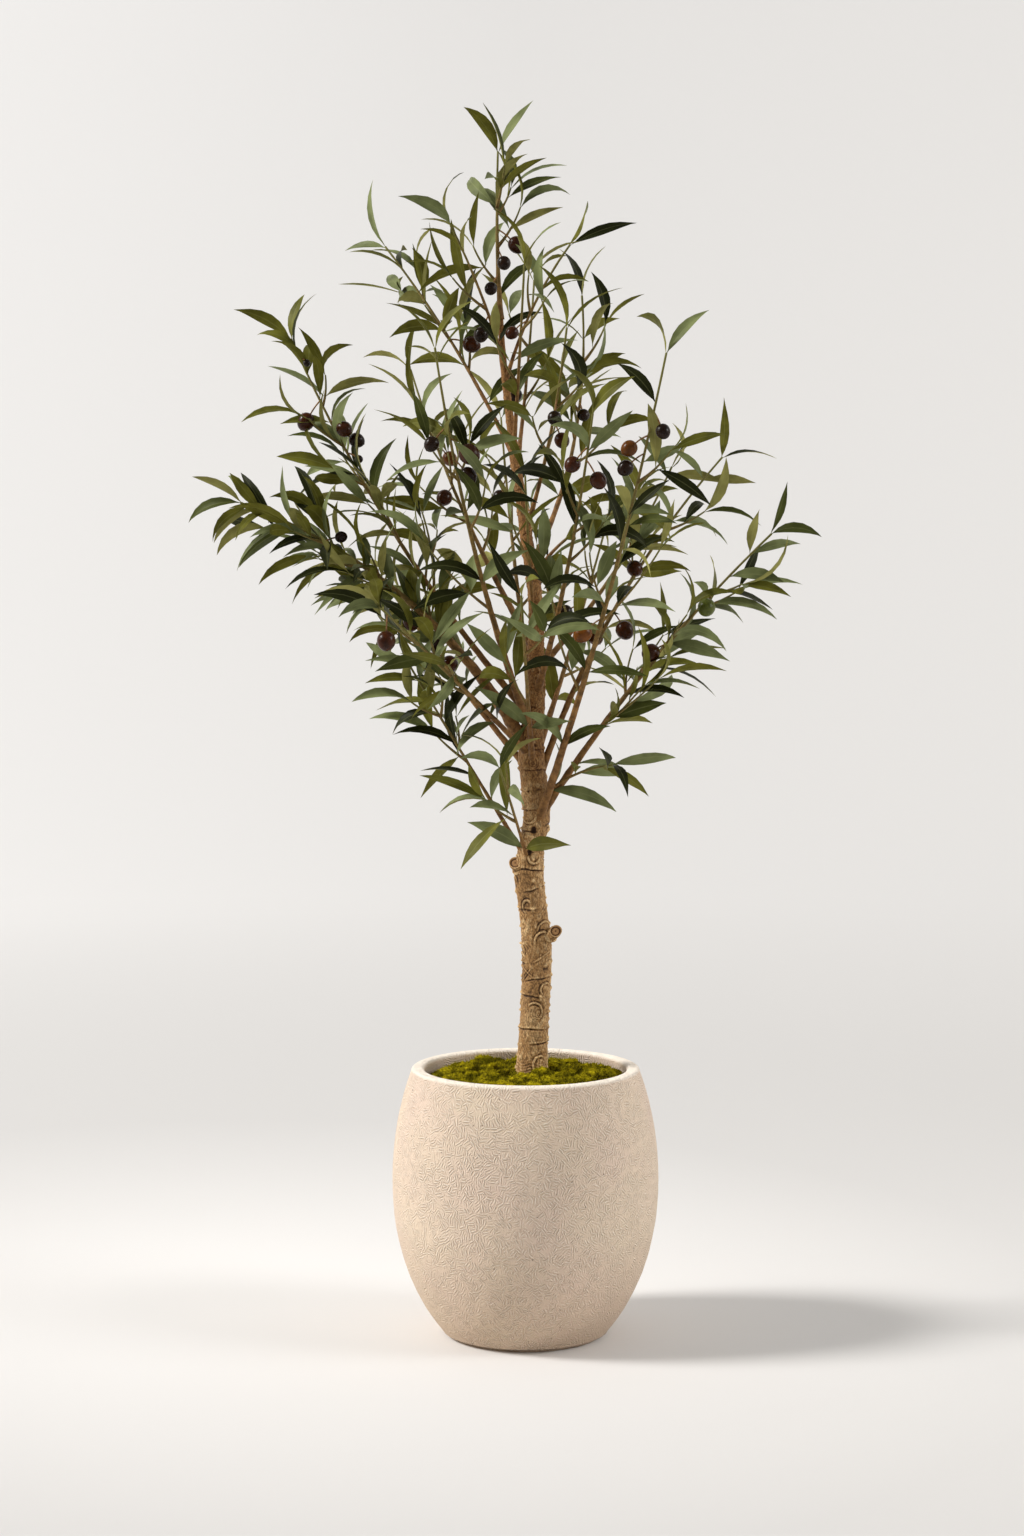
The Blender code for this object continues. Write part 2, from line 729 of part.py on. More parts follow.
def without_foot(stem, distance):
    """The stem from this distance on."""
    count = len(stem.points)
    places = [stem.at(d) for d in heights(distance, stem.length, count)]
    return Stem([place[0] for place in places], [place[2] for place in places])


def main():
    clear_scene()
    rng = random.Random(SEED)
    plant = new_collection("potted_olive_tree")
    cutters = new_collection("cutters")

    stone = new_material("pot_stone", (0.66, 0.53, 0.41), 0.85)
    filling = new_material("core_filling", (0.10, 0.07, 0.05), 0.95)
    moss_green = new_material("moss_green", (0.16, 0.19, 0.02), 0.95)
    bark = new_material("trunk_bark", (0.20, 0.10, 0.035), 0.8)
    foliage = new_material("olive_foliage", (0.06, 0.09, 0.04), 0.5)

    build_pot(plant, stone)
    build_core(plant, filling)
    cutter = build_trunk("trunk_cutter", CLEAR, cutters, None)
    cutter.hide_render = True
    cutter.display_type = "WIRE"
    build_moss(plant, moss_green, cutter)
    trunk = build_trunk("trunk", 0.0, plant, bark)

    space = Space()
    space.add(trunk.data, "trunk")
    for shoot in SHOOTS:
        if shoot.bare:
            bough = build_bough(shoot, plant, bark, cutter)
            space.add(bough.data, shoot.name)
    masses = [start_mass(shoot, plant, foliage, cutter) for shoot in (*SHOOTS, LEADER)]
    for mass in masses:
        space.add(mass.obj.data, mass.shoot.name)
    for mass in masses:
        grow_twigs(mass, space, rng)
    for mass in masses:
        grow_olives(mass, space, rng)
    for mass in masses:
        grow_leaves(mass, space, rng)
    for mass in masses:
        unite(mass.obj, mass.pieces)
    print(sum(mass.leaves for mass in masses), "leaves")


if __name__ == "__main__":
    main()
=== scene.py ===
"""Looks of a potted artificial olive tree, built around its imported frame.

Metres, +Z up. The origin is the centre of the pot's flat underside, and -Y is the side seen from the front.
"""

import math
import random
from collections import namedtuple
from functools import reduce
from itertools import product

import bpy
import numpy as np
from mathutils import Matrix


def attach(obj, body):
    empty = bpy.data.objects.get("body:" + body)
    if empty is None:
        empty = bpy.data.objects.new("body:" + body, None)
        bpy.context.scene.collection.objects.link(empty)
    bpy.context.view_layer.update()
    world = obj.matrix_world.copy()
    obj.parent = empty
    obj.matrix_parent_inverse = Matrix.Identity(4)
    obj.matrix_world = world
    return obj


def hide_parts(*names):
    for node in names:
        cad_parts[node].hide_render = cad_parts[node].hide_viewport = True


bl_info = {
    "name": "Potted olive tree",
    "version": (1, 0, 0),
    "blender": (4, 5, 0),
    "location": "3D View > Sidebar > Olive Tree",
    "description": "Pot, moss, bark, leaves and olives over the frame of a potted artificial olive tree",
    "category": "Add Mesh",
}

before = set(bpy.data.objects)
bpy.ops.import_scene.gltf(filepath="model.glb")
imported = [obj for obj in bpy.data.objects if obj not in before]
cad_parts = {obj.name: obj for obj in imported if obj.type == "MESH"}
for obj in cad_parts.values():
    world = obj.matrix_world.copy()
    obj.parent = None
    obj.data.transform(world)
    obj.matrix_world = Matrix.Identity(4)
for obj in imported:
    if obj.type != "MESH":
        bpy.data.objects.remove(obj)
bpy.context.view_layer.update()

UP = np.array((0.0, 0.0, 1.0))
SEED = 20

# Pot and filling
POT_HEIGHT = 0.331
BELLY_HEIGHT = 0.190
BELLY_RADIUS = 0.1636
FOOT_RADIUS = 0.0966
RIM_RADIUS = 0.1384
POT_WALL = 0.0162
POT_FLOOR = 0.025
CORE_TOP = 0.300

# Height, sideways place and radius where the trunk's course bends, from the flat cut to the tip
TRUNK_Z, TRUNK_X, TRUNK_RADIUS = (
    np.array(
        (
            (3003, 72, 212), (3150, 72, 202), (3400, 82, 186), (4000, 115, 175), (4550, 135, 178),
            (5000, 120, 174), (5400, 73, 166), (5800, 52, 166), (6120, 90, 150), (6400, 125, 150),
            (6620, 110, 158), (7000, 90, 146), (7400, 90, 132), (7850, 122, 112), (8300, 127, 98),
            (8800, 130, 91), (9300, 90, 83), (9660, 29, 76), (10260, -56, 67), (10740, -129, 57),
            (11460, -219, 47), (11940, -274, 40), (12400, -303, 34),
        )
    ).T
    / 10000
)
TRUNK_WAVER = 0.005
TRUNK_WAVE_LENGTH = 0.37
WAVER_START = 0.315

# The trunk's two lengths: lowest and highest ring, rings, and points a ring. They overlap a few millimetres
TRUNK_LENGTHS = {"trunk_bark": (0.3003, 0.664, 606, 150), "trunk_top_bark": (0.655, 1.24, 700, 110)}

# Limbs and side twigs, by the rule of the solids
LIMB_TIP_RADIUS = 0.0013
LIMB_TAPER = 1.6
BEND_GAP = 0.1
CLEAR = 0.0003
TWIG_LEAN = 42.0
TWIG_RISE = 0.55
TWIG_SHARE = 0.34
TWIGS_FROM = 0.10
TWIGS_TO = 0.76
TWIG_SHIFT = 0.2
TWIG_TURN = 50.0
TWIG_SHORTEST = 0.055
TWIG_LONGEST = 0.125
TWIG_RADIUS = 0.0017

# Finer twigs of the scene's own: forks of the longer twigs on dense shoots, and small ones between the twigs
FORKED_TWIG = 0.08
DENSE = 2.0
FORK_RADIUS = 0.0013
SMALL_TWIG_RADIUS = 0.0014

# A limb of the crown. Angles are in degrees: azimuth from +X towards +Y, lean from the vertical. Its leaves
# are further apart than usual by its openness. The table gives heights and lengths in millimetres, radii in
# tenths of one, and the bare part in hundredths of the length. The last limb is the leader.
Shoot = namedtuple("Shoot", "name height azimuth lean_foot lean_tip length radius bare twigs openness")
SHOOTS = [
    Shoot(name, up / 1000, *angles, reach / 1000, thick / 10000, bare / 100, twigs, openness)
    for name, up, *angles, reach, thick, bare, twigs, openness in (
        ("low_left", 581, 203, 33, 32, 292, 32, 30, 2, 1.3),
        ("low_left_twig", 577, 252, 40, 44, 175, 26, 0, 1, 1.55),
        ("left", 708, 187, 27, 70, 482, 90, 30, 4, 0.66),
        ("left_under", 710, 233, 56, 58, 350, 42, 22, 3, 2.2),
        ("front_left", 735, 238, 35, 15, 510, 55, 20, 3, 3.4),
        ("left_long", 757, 170, 42, 24, 555, 48, 24, 4, 1.4),
        ("back_low_left", 690, 148, 46, 40, 340, 45, 22, 3, 4.4),
        ("top_left", 1072, 152, 28, 41, 320, 30, 22, 3, 1.6),
        ("crown_left", 1190, 232, 25, 41, 185, 24, 0, 1, 3.3),
        ("crown_right", 1165, 318, 20, 46, 190, 24, 0, 1, 3.1),
        ("back_right", 946, 55, 45, -8, 360, 40, 26, 3, 2.3),
        ("front_right", 618, 304, 31, 19, 628, 56, 18, 4, 3.1),
        ("right_mid", 668, 26, 20, 45, 490, 48, 24, 3, 3.0),
        ("right", 630, 350, 32, 46, 455, 52, 18, 4, 1.6),
        ("thin_right", 930, 330, 35, 78, 150, 24, 0, 0, 1.15),
        ("low_right", 655, 326, 46, 84, 125, 24, 0, 0, 1.15),
        ("centre", 845, 262, 36, 16, 230, 28, 0, 1, 4.2),
        ("front_low", 700, 266, 50, 40, 300, 42, 20, 2, 4.2),
        ("front", 785, 287, 44, 22, 400, 45, 20, 3, 4.2),
        ("front_mid", 985, 292, 40, 16, 270, 32, 20, 2, 3.6),
        ("upper_front", 1085, 276, 34, 24, 240, 28, 20, 2, 6.0),
        ("upper_back", 1060, 80, 36, 20, 270, 30, 20, 2, 6.5),
        ("back", 765, 100, 42, 24, 440, 48, 20, 4, 6.4),
        ("back_left", 840, 130, 44, 26, 430, 46, 20, 4, 4.0),
        ("back_low", 700, 68, 44, 38, 400, 46, 20, 3, 5.0),
        ("back_right_low", 815, 36, 50, 30, 330, 42, 20, 2, 3.8),
        ("leader", 0, 0, 0, 0, 199, 34, 0, 3, 2.9),
    )
]

# Each shoot's olives: share of the shoot's length in thousandths, the stalk's turn in degrees, the width in
# tenths of a millimetre, and the tint
OLIVES = {
    "leader": ((540, 300, 205, "ripe"), (420, 240, 165, "black"), (270, 195, 155, "black")),
    "crown_left": ((330, 180, 180, "black"),),
    "top_left": ((540, 15, 205, "ripe"),),
    "crown_right": ((420, 75, 155, "ripe"),),
    "left_long": (
        (850, 195, 215, "ripe"), (800, 330, 195, "ripe"), (770, 10, 185, "black"), (960, 315, 90, "black"),
        (720, 330, 100, "black"),
    ),
    "front_left": ((820, 135, 175, "black"), (790, 285, 240, "ripe"), (740, 262, 205, "black")),
    "front_mid": ((680, 150, 165, "black"), (580, 195, 180, "ripe")),
    "back_right": ((630, 45, 150, "black"),),
    "front": ((900, 105, 185, "ripe"), (860, 210, 195, "ripe")),
    "front_right": (
        (845, 60, 185, "amber"), (810, 75, 180, "black"), (890, 180, 170, "black"), (480, 75, 215, "amber"),
    ),
    "right_mid": ((500, 105, 225, "ripe"),),
    "right": ((600, 45, 215, "ripe"), (780, 75, 215, "green")),
    "left": ((500, 255, 195, "ripe"), (410, 255, 175, "black"), (770, 345, 140, "black")),
    "left_under": ((950, 200, 215, "ripe"),),
    "back": ((500, 60, 200, "ripe"), (800, 200, 190, "black")),
    "back_left": ((600, 300, 200, "ripe"), (750, 90, 185, "amber")),
    "back_low": ((600, 120, 210, "ripe"), (660, 300, 190, "black")),
    "back_right_low": ((600, 80, 200, "ripe"),),
    "upper_back": ((500, 240, 185, "black"),),
    "back_low_left": ((600, 70, 205, "ripe"),),
}
OLIVE_TINTS = ("ripe", "black", "amber", "green")
STALK_RADIUS = 0.00085
STALK_SAG = 0.004

# The cut ends of two limbs that were taken off the trunk. They are cut slanting, to face one way
Stub = namedtuple("Stub", "height azimuth lean length radius")
STUBS = (Stub(0.478, 325, 52, 0.037, 0.0074), Stub(0.556, 205, 36, 0.035, 0.0078))
STUB_CUT = 0.62
STUB_FACING = np.array((0.05, -1.0, 0.25))

# Leaves: each is a closed form of two sheets, in rows from the stalk to the tip, six points a row
LEAF_ROWS = np.array((0.0, 0.09, 0.19, 0.32, 0.46, 0.61, 0.76, 0.90, 1.0))
LEAF_ACROSS = np.array((-1.0, -0.5, 0.0, 0.5, 1.0))
LEAF_EDGE = 0.00055
RIB_DEPTH = 0.00012

# Setting them: the share left out, the size of those at a tip, and how often a pose is tried. Gaps to the
# rest are measured at these shares of a leaf's length, and a good one ends the tries
LEFT_OUT = 0.11
TIP_SIZE = 0.94
LEAF_TRIES = 7
LEAF_SPOTS = np.array((0.3, 0.55, 0.8, 1.0))
GOOD_GAP = 0.0135
# Tint 1, deep, is a darker copy of the upper side that stands in for shaded leaves as painted shade.
COMMON_TINTS = (0, 0, 0, 0, 0, 1, 1, 2)
YOUNG_TINT = 3
Leaves = namedtuple("Leaves", "foot ahead face length width bend twist fold sway point tint")

# Most leaves turn their upper sides away from this place
FACED = np.array((0.0, 0.14, 0.6))


# Values that a user would change


def srgb(*channels):
    """A colour given as screen values from 0 to 255, as the linear numbers that a shader takes."""
    shares = [c / 255.0 for c in channels]
    return tuple(s / 12.92 if s <= 0.04045 else ((s + 0.055) / 1.055) ** 2.4 for s in shares)


def number(name, value, description, least=0.0, **more):
    return bpy.props.FloatProperty(name=name, description=description, default=value, min=least, **more)


def length(name, metres, description):
    return number(name, metres, description, precision=4, subtype="DISTANCE", unit="LENGTH")


def colour(name, channels, description):
    return bpy.props.FloatVectorProperty(
        name=name, description=description, default=srgb(*channels), min=0.0, max=1.0, size=3, subtype="COLOR"
    )


class PotSettings(bpy.types.PropertyGroup):
    lip_round: length("Lip round", 0.0045, "Radius of the lip's two edges")
    unevenness: length("Unevenness", 0.0005, "How far the cast wall swells in and out")
    cast: colour("Cast", (225, 205, 182), "Main colour of the cast stone finish")
    warm: colour("Warm patches", (223, 200, 182), "Colour of its warmer patches")
    grey: colour("Grey patches", (211, 196, 175), "Colour of its greyer patches")
    # pale also serves as painted light on the lip's top
    pale: colour("Pale strokes", (252, 242, 228), "Colour of its raised strokes and its lip")
    # hollow is painted shade: the darker colour laid in the hollows between the strokes
    hollow: colour("Hollows", (196, 170, 142), "Colour between the strokes")
    # pit is painted shade: the colour laid inside the small pits
    pit: colour("Pits", (120, 98, 78), "Colour inside its small pits")


class MossSettings(bpy.types.PropertyGroup):
    level: length("Level", 0.3138, "Height of the creases between the clumps")
    clump_spacing: length("Clump spacing", 0.0250, "Distance between the middles of two clumps")
    tuft_length: length("Tuft length", 0.0036, "Length of a tuft")
    tufts: bpy.props.IntProperty(name="Tufts", description="Number of tufts", default=26000, min=0)
    bright: colour("Bright", (196, 178, 24), "Colour of the clumps' tops")
    # deep is painted shade: the colour of the creases between the clumps
    deep: colour("Deep", (24, 20, 0), "Colour in the creases")


class WoodSettings(bpy.types.PropertyGroup):
    relief: length("Relief", 0.0006, "Height of the moulded loops on the bark")
    # ridge is painted light: the colour laid on the raised ridges
    ridge: colour("Ridges", (246, 208, 152), "Colour of the bark's ridges")
    bark: colour("Bark", (184, 140, 88), "Main colour of the bark")
    # groove is painted shade: the colour laid in the grooves, also used for the fine grain
    groove: colour("Grooves", (48, 25, 9), "Colour in the bark's grooves")
    twig: colour("Young twigs", (118, 116, 60), "Colour of the youngest twigs")


class LeafSettings(bpy.types.PropertyGroup):
    shortest: length("Shortest", 0.068, "Length of the shortest full-grown leaf")
    longest: length("Longest", 0.098, "Length of the longest leaf")
    narrowest: length("Narrowest", 0.0138, "Width of the narrowest leaf")
    widest: length("Widest", 0.0212, "Width of the widest leaf")
    pair_spacing: length("Pair spacing", 0.0245, "Distance between two pairs of leaves")
    # slate is partly painted light: it is lightened to stand in for the satin highlights on lit leaves
    slate: colour("Slate", (122, 130, 84), "Blue-grey upper sides")
    # deep is painted shade: a darker copy of the upper side, dealt out at random to stand in for leaves in
    # shade
    deep: colour("Deep", (34, 38, 10), "Dark upper sides")
    green: colour("Green", (72, 78, 33), "Green upper sides")
    olive: colour("Olive", (106, 105, 38), "Yellow-green upper sides")
    under: colour("Underside", (114, 112, 43), "Undersides")
    under_pale: colour("Pale underside", (156, 152, 88), "Silvery undersides")


class OliveSettings(bpy.types.PropertyGroup):
    elongation: number("Elongation", 1.1, "An olive's length over its width", 0.5)
    stalk: length("Stalk", 0.017, "Length of its stalk")
    ripe: colour("Ripe", (68, 31, 8), "Colour of a ripe olive")
    black: colour("Black", (38, 20, 7), "Colour of the ripest")
    amber: colour("Amber", (122, 70, 20), "Colour of one that turns")
    green: colour("Green", (96, 104, 44), "Colour of an unripe one")


class StageSettings(bpy.types.PropertyGroup):
    paper: colour("Backdrop", (232, 230, 228), "Colour of the floor and the backdrop")
    lens: number("Lens", 70.0, "Focal length", 1.0, unit="CAMERA")
    key: number("Key light", 2.8, "Strength of the key light")
    fill: number("Fill light", 0.31, "Strength of the light all round")


GROUPS = {
    "olive_tree_pot": PotSettings,
    "olive_tree_moss": MossSettings,
    "olive_tree_wood": WoodSettings,
    "olive_tree_leaf": LeafSettings,
    "olive_tree_fruit": OliveSettings,
    "olive_tree_stage": StageSettings,
}


# Arrays and meshes


def unit(vectors):
    """Vectors of length one, in the same directions."""
    return vectors / np.maximum(np.linalg.norm(vectors, axis=-1, keepdims=True), 1e-12)


def turns(columns):
    """Evenly spaced angles round one full turn."""
    return np.arange(columns) * (math.tau / columns)


def bell(x):
    """One at nought, falling off on both sides: e^-x^2."""
    return np.exp(-(x**2))


def ramp(x):
    """The value, held between nought and one."""
    return np.clip(x, 0.0, 1.0)


def summed(steps):
    """Running totals of the steps, from nought."""
    return np.concatenate([np.zeros_like(steps[:1]), np.cumsum(steps, axis=0)])


def scatter(cells, seed):
    """A number from -1 to 1 for each whole-number cell, the same each time."""
    mixed = cells[..., 0] * 73856093 ^ cells[..., 1] * 19349663 ^ cells[..., 2] * 83492791
    mixed = mixed ^ (seed * 2654435761)
    mixed = (mixed ^ (mixed >> 13)) * 1274126177
    mixed = (mixed ^ (mixed >> 16)) & 0xFFFFFF
    return mixed / 0x7FFFFF - 1.0


def mottle(points, size, seed):
    """Smooth noise from -1 to 1: scattered numbers at the corners of cubes of this size, eased between."""
    places = points / size
    cell = np.floor(places).astype(np.int64)
    share = places - cell
    share = share * share * (3.0 - 2.0 * share)
    total = 0.0
    for corner in product((0, 1), repeat=3):
        weight = np.prod(np.where(corner, share, 1.0 - share), axis=-1)
        total = total + weight * scatter(cell + corner, seed)
    return total


def layers(points, *rows):
    """Smooth noise summed from rows of (height, size, seed, squeeze): a low squeeze draws it out along Z."""
    return sum(tall * mottle(points * (1.0, 1.0, squeeze), size, seed) for tall, size, seed, squeeze in rows)


def grid_faces(rows, columns, closed_rows=False):
    """Quads of a grid whose last column meets its first, and whose last row does too if asked."""
    row = np.arange(rows if closed_rows else rows - 1)[:, None]
    column = np.arange(columns)
    after = (column + 1) % columns
    above = (row + 1) % rows * columns
    row = row * columns
    return np.stack((row + column, row + after, above + after, above + column), axis=-1).reshape(-1, 4)


def surface(name, points, *faces, slots=0):
    """A smooth mesh from points, an array of faces for each number of corners, and the faces' slots."""
    mesh = bpy.data.meshes.new(name)
    mesh.vertices.add(len(points))
    mesh.vertices.foreach_set("co", np.ascontiguousarray(points, np.float32).ravel())
    sizes = np.concatenate([np.full(len(group), group.shape[1]) for group in faces])
    corners = np.concatenate([group.ravel() for group in faces]).astype(np.int32)
    mesh.loops.add(len(corners))
    mesh.loops.foreach_set("vertex_index", corners)
    mesh.polygons.add(len(sizes))
    mesh.polygons.foreach_set("loop_start", summed(sizes)[:-1].astype(np.int32))
    mesh.polygons.foreach_set("use_smooth", np.ones(len(sizes), bool))
    mesh.polygons.foreach_set("material_index", np.zeros(len(sizes), np.int32) + np.int32(slots))
    mesh.update(calc_edges=True)
    return mesh


def mark(mesh, name, values):
    """A number at each vertex, which a material reads by this name."""
    layer = mesh.attributes.new(name, "FLOAT", "POINT")
    layer.data.foreach_set("value", np.ascontiguousarray(values, np.float32).ravel())


def placed(name, data):
    """A new object in the scene with this mesh, lamp or camera."""
    obj = bpy.data.objects.new(name, data)
    bpy.context.scene.collection.objects.link(obj)
    return obj


def piece(name, mesh, slot, stands_for, *materials):
    """The mesh as a finished piece that rides on the frame and stands for these CAD nodes."""
    for material in materials:
        mesh.materials.append(material)
    obj = placed(name, mesh)
    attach(obj, "root")
    if stands_for:
        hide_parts(*stands_for)
    return obj


def nodes_named(start):
    return [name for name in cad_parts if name.startswith(start)]


def spun(parts, columns):
    """A profile turned about Z: (rings of points, outward directions), from parts of (radii, heights)."""
    radii, heights = np.concatenate(parts, axis=1)
    angles = turns(columns)
    out = np.stack([np.cos(angles), np.sin(angles), 0.0 * angles], axis=-1)
    return radii[:, None, None] * out + heights[:, None, None] * UP, out


class Batch:
    """Closed rows of rings gathered from many tubes, so that they become one mesh."""

    def __init__(self):
        self.points, self.marks, self.quads, self.fans = [], [], [], []
        self.quad_slots, self.fan_slots = [], []
        self.count = 0

    def add(self, rings, marks=0.0, foot=None, tip=None, slots=0):
        """Rings of points, (rows, columns, 3), closed at both ends by a fan round a middle point.

        The marks belong to the points, the slots to the rows of faces. The fans take the slots beside them.
        """
        rows, columns, _ = rings.shape
        foot = rings[0].mean(axis=0) if foot is None else foot
        tip = rings[-1].mean(axis=0) if tip is None else tip
        marks = np.broadcast_to(marks, (rows, columns))
        slots = np.broadcast_to(slots, rows - 1)
        self.points.append(np.concatenate([rings.reshape(-1, 3), [foot, tip]]))
        self.marks.append(np.concatenate([marks.ravel(), marks[[0, -1]].mean(axis=1)]))
        column = np.arange(columns)
        after = (column + 1) % columns
        last, poles = (rows - 1) * columns, rows * columns + 0 * column
        self.quads.append(grid_faces(rows, columns) + self.count)
        self.fans.append(np.stack([poles, after, column], axis=-1) + self.count)
        self.fans.append(np.stack([poles + 1, last + column, last + after], axis=-1) + self.count)
        self.quad_slots.append(np.repeat(slots, columns))
        self.fan_slots.append(np.repeat(slots[[0, -1]], columns))
        self.count += rows * columns + 2

    def mesh(self, name, mark_name):
        faces = (np.concatenate(self.quads), np.concatenate(self.fans))
        slots = np.concatenate(self.quad_slots + self.fan_slots)
        mesh = surface(name, np.concatenate(self.points), *faces, slots=slots)
        mark(mesh, mark_name, np.concatenate(self.marks))
        return mesh


def rings_round(points, ahead, across, radii, sides):
    """Rings round a path: point + radius * (cos a * across + sin a * (ahead x across))."""
    angles = turns(sides)[:, None]
    other = unit(np.cross(ahead, across))
    level = unit(np.cross(other, ahead))
    spokes = np.cos(angles) * level[:, None, :] + np.sin(angles) * other[:, None, :]
    return points[:, None, :] + spokes * np.broadcast_to(radii, (len(points), sides))[..., None]


# The tree's lines, by the rule of the solids


def hermite(at, knots, values):
    """A smooth curve through the values at the knots: cubic between them, with their mean slopes."""
    slopes = np.gradient(values, knots)
    i = np.clip(np.searchsorted(knots, at) - 1, 0, len(knots) - 2)
    width = knots[i + 1] - knots[i]
    t = (at - knots[i]) / width
    low = (1.0 + 2.0 * t) * (1.0 - t) ** 2 * values[i] + t * (1.0 - t) ** 2 * width * slopes[i]
    high = t**2 * (3.0 - 2.0 * t) * values[i + 1] - t**2 * (1.0 - t) * width * slopes[i + 1]
    return low + high


def trunk_points(z):
    """Points of the trunk's axis at these heights."""
    wave = np.sin(math.tau * np.maximum(0.0, z - WAVER_START) / TRUNK_WAVE_LENGTH)
    return np.stack([hermite(z, TRUNK_Z, TRUNK_X), TRUNK_WAVER * wave, z], axis=-1)


def limb_radius(radius, share):
    left = np.maximum(0.0, 1.0 - share)
    return LIMB_TIP_RADIUS + (radius - LIMB_TIP_RADIUS) * left**LIMB_TAPER


def direction(azimuth, lean):
    a, b = np.radians(azimuth), np.radians(lean)
    return np.stack([np.sin(b) * np.cos(a), np.sin(b) * np.sin(a), np.cos(b)], axis=-1)


class Stem:
    """A curved axis in one plane: points, directions, a vector square to the plane, radii and age."""

    def __init__(self, points, across, radii, ages, start=0.0, family=0):
        self.points = points
        self.lengths = summed(np.linalg.norm(np.diff(points, axis=0), axis=1))
        self.length = float(self.lengths[-1])
        self.ahead = unit(np.gradient(points, self.lengths, axis=0))
        self.across = across
        self.radii = radii
        self.ages = ages
        self.start = start
        self.family = family

    def at(self, distance):
        """(point, direction, radius) at this distance from the foot."""
        columns = (*self.points.T, *self.ahead.T, self.radii)
        values = np.array([np.interp(distance, self.lengths, column) for column in columns])
        return values[:3], unit(values[3:6]), values[6]


def shoot_stem(shoot, family):
    """A shoot from the trunk's axis to its tip: its lean changes evenly, in one upright plane."""
    steps = max(8, round(shoot.length / 0.005))
    share = (np.arange(steps) + 0.5) / steps
    lean = shoot.lean_foot + (shoot.lean_tip - shoot.lean_foot) * share
    moves = direction(shoot.azimuth, lean) * (shoot.length / steps)
    points = trunk_points(np.array([shoot.height])) + summed(moves)
    side = direction(shoot.azimuth + 90.0, 90.0)
    shares = np.linspace(0.0, 1.0, steps + 1)
    if shoot.bare:
        start = shoot.bare * shoot.length + CLEAR + BEND_GAP * limb_radius(shoot.radius, shoot.bare)
    else:
        start = np.interp(shoot.height, TRUNK_Z, TRUNK_RADIUS) / math.sin(math.radians(shoot.lean_foot))
    return Stem(points, side, limb_radius(shoot.radius, shares), 0.25 + 0.75 * shares, start, family)


def leader_stem(leader, family):
    """The top shoot: it runs on from the trunk's tip and turns up."""
    below, foot = trunk_points(TRUNK_Z[-2:])
    ahead = unit(foot - below)
    shares = np.linspace(0.0, 1.0, 41)
    straight = foot + ahead * (leader.length * shares)[:, None]
    upright = foot + UP * (leader.length * shares)[:, None]
    points = straight + (upright - straight) * (0.75 * shares)[:, None]
    side = unit(np.cross(ahead, UP))
    return Stem(points, side, limb_radius(leader.radius, shares), 0.5 + 0.5 * shares, 0.0, family)


def side_frame(axis, turn):
    """A unit vector square to the axis, turned about it from the most upright one."""
    out = unit(UP - axis * axis.dot(UP))
    return out * math.cos(turn) + np.cross(axis, out) * math.sin(turn)


def side_twig(stem, distance, turn, twig_length, radius):
    """A twig that leaves the stem at an angle and curves back towards the stem's own direction."""
    point, axis, _ = stem.at(distance)
    out = side_frame(axis, turn)
    steps = max(4, round(twig_length / 0.006))
    angle = math.radians(TWIG_LEAN) * (1.0 - TWIG_RISE * (np.arange(steps) / steps))
    moves = np.cos(angle)[:, None] * axis + np.sin(angle)[:, None] * out
    points = point + summed(moves * (twig_length / steps))
    radii = np.linspace(radius, 0.75 * LIMB_TIP_RADIUS, steps + 1)
    ages = np.linspace(0.62, 1.0, steps + 1)
    return Stem(points, unit(np.cross(axis, out)), radii, ages, 0.0, stem.family)


def grow_tree():
    """(shoots' stems, twigs' stems): the solids' own side twigs, then finer ones between them and on them."""
    stems = [shoot_stem(shoot, i) for i, shoot in enumerate(SHOOTS[:-1])]
    stems.append(leader_stem(SHOOTS[-1], len(stems)))
    rng = random.Random(SEED)
    twigs = []
    for shoot, stem in zip(SHOOTS, stems):
        leafy = stem.length - stem.start
        for i in range(shoot.twigs):
            share = (i + 0.5 + TWIG_SHIFT * rng.uniform(-1.0, 1.0)) / shoot.twigs
            along = leafy * (TWIGS_FROM + (TWIGS_TO - TWIGS_FROM) * share)
            size = min(TWIG_LONGEST, max(TWIG_SHORTEST, TWIG_SHARE * (leafy - along)))
            turn = math.radians(90.0 + 180.0 * (i % 2) + rng.uniform(-TWIG_TURN, TWIG_TURN))
            twigs.append(side_twig(stem, stem.start + along, turn, size, TWIG_RADIUS))
    finer = random.Random(SEED + 1)
    for twig in list(twigs):
        if twig.length > FORKED_TWIG and SHOOTS[twig.family].openness < DENSE:
            turn = math.radians(finer.choice((90.0, 270.0)) + finer.uniform(-50.0, 50.0))
            reach = twig.length * finer.uniform(0.36, 0.5)
            twigs.append(side_twig(twig, twig.length * finer.uniform(0.3, 0.45), turn, reach, FORK_RADIUS))
    for shoot, stem in zip(SHOOTS, stems):
        leafy = stem.length - stem.start
        small = round(shoot.twigs / shoot.openness)
        for i in range(small):
            along = leafy * (0.12 + 0.72 * (i + finer.uniform(0.2, 0.8)) / small)
            size = min(0.085, max(0.04, 0.22 * (leafy - along)))
            turn = math.radians(180.0 * (i % 2) + finer.uniform(-40.0, 40.0))
            twigs.append(side_twig(stem, stem.start + along, turn, size, SMALL_TWIG_RADIUS))
    return stems, twigs


# Materials


